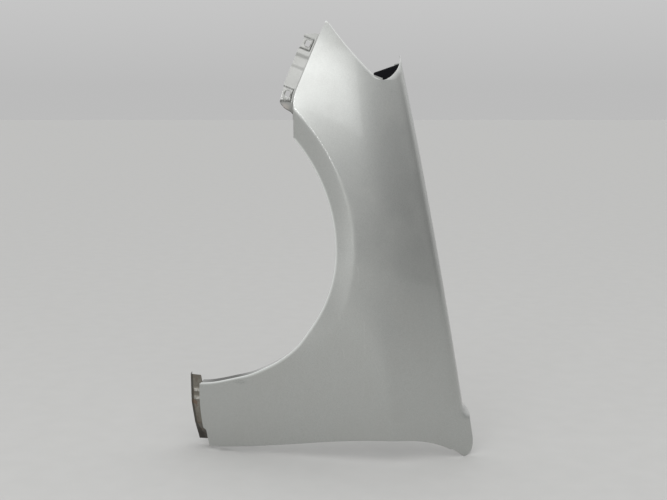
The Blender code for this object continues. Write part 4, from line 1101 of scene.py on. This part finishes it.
def makePanel():
    points, faces, rails, frames, brightRows = pressingSheet()
    sheet = newObject("panelSheet", points, faces, silverPaint)
    sheet.data.materials.append(silverPaint)
    mesh = sheet.data
    outwardAll, inboardAll = np.zeros((len(points), 3)), np.zeros((len(points), 3))
    leanAll, edgeHighlight = np.zeros(len(points)), np.zeros(len(points))
    for row, strength in zip(brightRows, (1.0, 0.45)):
        edgeHighlight[row] = strength
    for name, (ids, rail, inner) in rails.items():
        _, outwardAll[ids], inboardAll[ids] = edgeFrames(rail, inner)
        if name == "archEdge":
            front = smoothStep((rail[:, 1] - rail[0, 1]) / skin["archLipLeanOver"])
            leanAll[ids] = skin["archLipLean"] * (1 - front)
    editMesh(sheet, faceCamera)
    edges = np.empty(len(mesh.edges) * 2, int)
    mesh.edges.foreach_get("vertices", edges)
    lookUp = {tuple(sorted(pair)): i for i, pair in enumerate(edges.reshape(-1, 2).tolist())}
    for name, (ids, _, _) in rails.items():
        marks = np.zeros(len(mesh.edges), bool)
        marks[[lookUp[tuple(sorted(pair))] for pair in zip(ids[:-1].tolist(), ids[1:].tolist())]] = True
        store(sheet, name, "BOOLEAN", marks, "EDGE")
    store(sheet, "outward", "FLOAT_VECTOR", outwardAll)
    store(sheet, "inboard", "FLOAT_VECTOR", inboardAll)
    for name, values in (("lean", leanAll), ("edgeHighlight", edgeHighlight), ("onFlange", (frames >= 0).astype(float)),
                         ("frame", np.maximum(frames, 0.0))):
        store(sheet, name, "FLOAT", values)

    radius, quarter = skin["foldRadius"], math.pi / 2
    folds = (
        ("archEdge", 0.0, quarter, skin["archLip"] - radius, 8),
        ("doorEdge", 0.0, quarter, skin["doorReturn"] - radius, 6),
        ("headlightEdge", 0.0, quarter, skin["headlightReturn"] - radius, 4),
        ("bonnetEdge", 0.0, quarter, skin["channelDepth"] - 2 * radius, 6),
        ("bonnetEdge", quarter, -quarter, skin["ledgeWidth"], 8),
    )
    for name, start, turn, flat, steps in folds:
        addModifier(sheet, foldedEdge, {"Rail": name, "Start": start, "Turn": turn, "Radius": radius,
                                        "Steps": skin["foldSteps"], "Flat": flat, "Flat steps": steps})
    addWall(sheet, skin["gauge"]).material_offset = 1
    bolts = boltPlaces()
    posts = [clipPost(z) for z, _ in flangeHeights()["pads"]]
    for post in posts:
        cut = sheet.modifiers.new("Clip hole", "BOOLEAN")
        cut.object = post
        cut.solver = "EXACT"
    punch(sheet, bolts, holes["boltRadius"], silverPaint)
    panel = settle(sheet, "fenderSkin")
    for helper in [bolts, *posts]:
        bpy.data.objects.remove(helper, do_unlink=True)
    keepInBox(panel)
    return panel


panel = makePanel()
print("panel", len(panel.data.polygons), "faces")


# The sill plate, welded behind the sill end of the panel

plate = {
    "gauge": 0.0012, "topRise": 0.022, "bottomDrop": 0.002, "lap": 0.030, "lapTopDrop": 0.026,
    "lapBottomRise": 0.031, "outerX": -0.375, "step": 0.004, "overlap": 0.006, "taperDrop": 0.056,
    "taper": 0.016, "rim": 0.026, "fold": 0.003, "ribDrops": (0.0425, 0.0205), "ribWidth": 0.010,
    "ribHeight": 0.0030, "footRise": 0.056, "footLean": math.radians(28), "holeDrops": (0.0885, 0.0005),
    "holeRadius": 0.0045, "weldPitch": 0.018, "weldRadius": 0.0030, "weldDepth": 0.0003,
    "rowGap": 0.0016, "lapCells": 20, "stripCells": 22, "foldCells": 8, "rimCells": 14,
}


def platePoints(z, sillEnd, heights):
    # lap, joggle, ribbed strip, fold and rim of the plate at height z
    endS = float(np.interp(z, sillEnd[:, 1], sillEnd[:, 0]))
    under = skin["gauge"] + skin["seatGap"]
    foot = max(0.0, heights["foot"] - z) * math.tan(plate["footLean"])
    taper = plate["taper"] * max(0.0, (heights["taper"] - z) / (heights["taper"] - heights["bottom"]))
    outerX = plate["outerX"] + taper
    outerS = float(sectionPosition(outerX, z))
    stepped = under + plate["step"] + foot
    lapS = np.linspace(endS + plate["lap"], endS + plate["overlap"] + plate["step"], plate["lapCells"] + 1)
    weldS = endS + (plate["lap"] + plate["overlap"] + plate["step"]) / 2
    weldZ = (z / plate["weldPitch"] - round(z / plate["weldPitch"])) * plate["weldPitch"]
    weld = np.exp(-((lapS - weldS) ** 2 + weldZ ** 2) / plate["weldRadius"] ** 2)
    joggle = np.linspace(0.0, 1.0, 7)[1:-1]
    joggleS = lapS[-1] - plate["step"] * joggle
    stripS = np.linspace(endS + plate["overlap"], outerS + plate["fold"], plate["stripCells"] + 1)
    rib = sum(float(smoothStep(1.5 - 2 * abs(z - centre) / plate["ribWidth"])) for centre in heights["ribs"])
    t = np.linspace(0.0, 1.0, plate["stripCells"] + 1)
    crest = rib * smoothStep(4 * t) * smoothStep(4 * (1 - t))
    raised = plate["ribHeight"] * crest
    s = np.concatenate((lapS, joggleS, stripS))
    depth = np.concatenate((under + plate["weldDepth"] * weld, under + (stepped - under) * smoothStep(joggle),
                            stepped - raised))
    row = skinPoints(s, z) + inwardNormals(s, np.full_like(s, z)) * depth[:, None]
    corner = skinPoints(outerS, z) + inwardNormals(np.array(outerS), np.array(z)) * stepped
    corner[0] = outerX
    t = np.linspace(0.0, 1.0, plate["foldCells"] + 1)[1:, None]
    below = corner + (0.0, plate["fold"], 0.0)
    bend = (1 - t) ** 2 * row[-1] + 2 * t * (1 - t) * corner + t * t * below
    reach = np.linspace(plate["fold"], plate["rim"], plate["rimCells"] + 1)[1:, None]
    rim = corner + reach * np.array([0.0, 1.0, 0.0])
    after = plate["foldCells"] + plate["rimCells"]
    wearAndHighlight = np.concatenate((np.zeros(len(lapS) + len(joggleS)), crest, np.zeros(after)))
    return np.concatenate((row, bend, rim)), corner, wearAndHighlight


def makePlate():
    sillEnd = panelColumns()[0]
    sillEnd = sillEnd[np.argsort(sillEnd[:, 1])]
    top = sillRun()[0][1]
    cornerZ = skin["doorCornerZ"]
    heights = {
        "top": top + plate["topRise"], "bottom": cornerZ - plate["bottomDrop"],
        "lapTop": top - plate["lapTopDrop"], "lapBottom": cornerZ + plate["lapBottomRise"],
        "taper": top - plate["taperDrop"], "foot": cornerZ + plate["footRise"],
        "ribs": [top - drop for drop in plate["ribDrops"]],
        "holes": [top - drop for drop in plate["holeDrops"]],
    }
    stops = [heights["bottom"], heights["lapBottom"], heights["lapTop"], heights["top"]]
    levels = []
    for low, high in zip(stops, stops[1:]):
        count = max(2, round((high - low) / plate["rowGap"]))
        levels.extend(np.linspace(low, high, count + 1)[:-1])
    levels.append(heights["top"])
    rows, _, crests = zip(*(platePoints(z, sillEnd, heights) for z in levels))
    width = len(rows[0])
    full = width - plate["stripCells"] - 1 - plate["foldCells"] - plate["rimCells"]
    faces = []
    for i, (low, high) in enumerate(zip(levels, levels[1:])):
        inLap = heights["lapBottom"] - 1e-6 <= low and high <= heights["lapTop"] + 1e-6
        for j in range(0 if inLap else full, width - 1):
            a = i * width + j
            faces.append([a, a + 1, a + width + 1, a + width])
    sheet = newObject("plateSheet", np.concatenate(rows), faces, primedSteel)
    shade = np.zeros((len(levels), width))
    shade[:, -plate["rimCells"] - plate["foldCells"] - 2:] = 1.0
    store(sheet, "rimShade", "FLOAT", shade)
    store(sheet, "crest", "FLOAT", np.concatenate(crests))
    editMesh(sheet, dropLoosePoints)
    editMesh(sheet, faceCamera)
    addWall(sheet, plate["gauge"])
    middle = (plate["fold"] + plate["rim"]) / 2
    centres = [platePoints(z, sillEnd, heights)[1] + (0.0, middle, 0.0) for z in heights["holes"]]
    places = punchPlaces("sillPlaces", centres, [(1.0, 0.0, 0.0)] * len(centres))
    punch(sheet, places, plate["holeRadius"], primedSteel)
    piece = settle(sheet, "sillPlate")
    bpy.data.objects.remove(places, do_unlink=True)
    return piece


sillPlate = makePlate()
print("sill plate", len(sillPlate.data.polygons), "faces")


# The foam block in the front end of the bonnet channel

foam = {
    "reach": 0.021, "frontS": 0.026, "belowNotch": 0.034, "riseLeft": 0.019, "riseRight": 0.044,
    "rounding": 0.003, "rollGap": 0.0025, "rollCells": 10, "levels": 12, "roughness": 0.0006,
}


def roughenTree():
    # breaks up the flat cut faces of a block, always inwards
    tree, given, result = newGeometryTree("cutFoam", {
        "Level": "Int", "Amount": "Float", "Scale": "Float", "Finish": "Material"})
    finer = place(tree, "GeometryNodeSubdivideMesh", {"Mesh": given.outputs["Geometry"],
                                                      "Level": given.outputs["Level"]})
    lumps = place(tree, "ShaderNodeTexNoise", {"Scale": given.outputs["Scale"], "Detail": 4.0})
    amount = times(tree, times(tree, lumps.outputs[0], given.outputs["Amount"]), -1.0)
    inward = scaled(tree, place(tree, "GeometryNodeInputNormal").outputs[0], amount)
    moved = place(tree, "GeometryNodeSetPosition", {"Geometry": finer.outputs[0], "Offset": inward})
    done = place(tree, "GeometryNodeSetMaterial", {"Geometry": moved.outputs[0],
                                                   "Material": given.outputs["Finish"]})
    tree.links.new(done.outputs[0], result.inputs[0])
    return tree


def makeFoam():
    under = skin["gauge"] + skin["seatGap"]
    gap = foam["rollGap"]
    leftX = notchX() - foam["reach"]
    bottom = notchZ - foam["belowNotch"]
    lowTop = notchZ + foam["riseLeft"]

    def section(z):
        s = np.linspace(foam["frontS"], skin["shoulderRoll"], foam["rollCells"])
        roll = skinPoints(s, z) + inwardNormals(s, np.full_like(s, z)) * (under + gap)
        edge = skinPoints(edgeS, z)
        seat = skinPoints(skin["shoulderRoll"] + gap, z)[1]
        back = edge[1] + skin["foldRadius"] - under - skin["seatGap"]
        rest = [(edge[0] - under, seat, z), (edge[0] - under, back, z), (leftX, back, z)]
        return np.concatenate(([(leftX, roll[0][1], z)], roll, rest))

    across = (section(lowTop)[:, 0] - leftX) / (float(limbX(lowTop)) - leftX)
    tops = lowTop + (foam["riseRight"] - foam["riseLeft"]) * across
    rings = []
    for share in np.linspace(0.0, 1.0, foam["levels"] + 1):
        heights = bottom + (tops - bottom) * share
        rings.append([section(z)[number] for number, z in enumerate(heights)])
    block = newObject("foamBlock", np.concatenate(rings), tubeFaces(foam["levels"], len(tops)), blackFoam)
    editMesh(block, turnOutwards)
    rounding = block.modifiers.new("Soft edges", "BEVEL")
    rounding.width = foam["rounding"]
    rounding.segments = 4
    rounding.limit_method = "ANGLE"
    rounding.angle_limit = math.radians(50)
    addModifier(block, roughenTree(), {"Level": 2, "Amount": foam["roughness"], "Scale": 160.0,
                                       "Finish": blackFoam})
    return settle(block, "channelFoam", 50)


channelFoam = makeFoam()
print("foam", len(channelFoam.data.polygons), "faces")

for piece, node, slotName in ((panel, "fender_panel", "silver_paint"),
                              (sillPlate, "sill_plate", "primed_steel"),
                              (channelFoam, "channel_foam", "black_foam")):
    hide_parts(node)
    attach(piece, "root")


# Floor, light and camera

studio = {
    "floorSize": 60.0, "cameraAt": (0.006, -3.0286, 0.9699), "cameraTilt": math.radians(82),
    "lens": 63.47, "lampAim": (0.0, 0.0, 0.6),
    "floorDark": (0.53, 0.53, 0.52), "floorPale": (0.57, 0.57, 0.56),
    # each lamp's place, size and power
    "boxes": (((0.2, -3.4, 3.1), (4.4, 2.2), 31.0), ((-1.05, -2.9, 1.35), (0.08, 1.5), 4.5)),
}


def makeFloor():
    half = studio["floorSize"] / 2
    floor = newObject("floor", [(-half, -half, 0), (half, -half, 0), (half, half, 0), (-half, half, 0)],
                      [[0, 1, 2, 3]])
    material, tree, shader, where = newFinish("paleFloor", (0.6, 0.6, 0.58))
    feed(tree, shader, {"Base Color": mixColour(
        tree, noise(tree, where, 14.0, 5.0), (*studio["floorDark"], 1.0), (*studio["floorPale"], 1.0))})
    shader.inputs["Roughness"].default_value = 0.85
    floor.data.materials.append(material)


def makeWorld():
    world = bpy.data.worlds.new("studio")
    bpy.context.scene.world = world
    world.use_nodes = True
    tree = world.node_tree
    background = tree.nodes["Background"]
    where = place(tree, "ShaderNodeTexCoord").outputs["Generated"]
    direction = place(tree, "ShaderNodeSeparateXYZ", {0: where})
    front = remap(tree, direction.outputs["Z"], 0.0, 0.55, 0.33, 1.15)
    # the wall to the right of the camera is further off and darker
    right = remap(tree, direction.outputs["X"], 0.0, 0.9, 1.0, 0.30)
    front = times(tree, front, right)
    behind = remap(tree, direction.outputs["Z"], 0.0, 0.5, 0.50, 0.95)
    side = place(tree, "ShaderNodeMapRange", {
        "Value": direction.outputs["Y"], "From Min": -0.35, "From Max": 0.35},
        interpolation_type="SMOOTHSTEP").outputs[0]
    level = place(tree, "ShaderNodeMix", {0: side, 2: front, 3: behind}).outputs[0]
    grey = place(tree, "ShaderNodeCombineColor", {0: level, 1: level, 2: level}).outputs[0]
    tree.links.new(grey, background.inputs["Color"])


def makeLights():
    for at, size, power in studio["boxes"]:
        light = bpy.data.lights.new("softbox", "AREA")
        light.shape = "RECTANGLE"
        light.size, light.size_y = size
        light.energy = power
        lamp = bpy.data.objects.new("softbox", light)
        lamp.location = at
        aim = Vector(studio["lampAim"]) - lamp.location
        lamp.rotation_euler = aim.to_track_quat("-Z", "Y").to_euler()
        bpy.context.scene.collection.objects.link(lamp)


def makeCamera():
    camera = bpy.data.objects.new("camera", bpy.data.cameras.new("camera"))
    camera.location = studio["cameraAt"]
    camera.rotation_euler = (studio["cameraTilt"], 0.0, 0.0)
    camera.data.lens = studio["lens"]
    bpy.context.scene.collection.objects.link(camera)
    bpy.context.scene.camera = camera


makeFloor()
makeWorld()
makeLights()
makeCamera()
bpy.context.scene.view_settings.view_transform = "Standard"
print("studio ready")
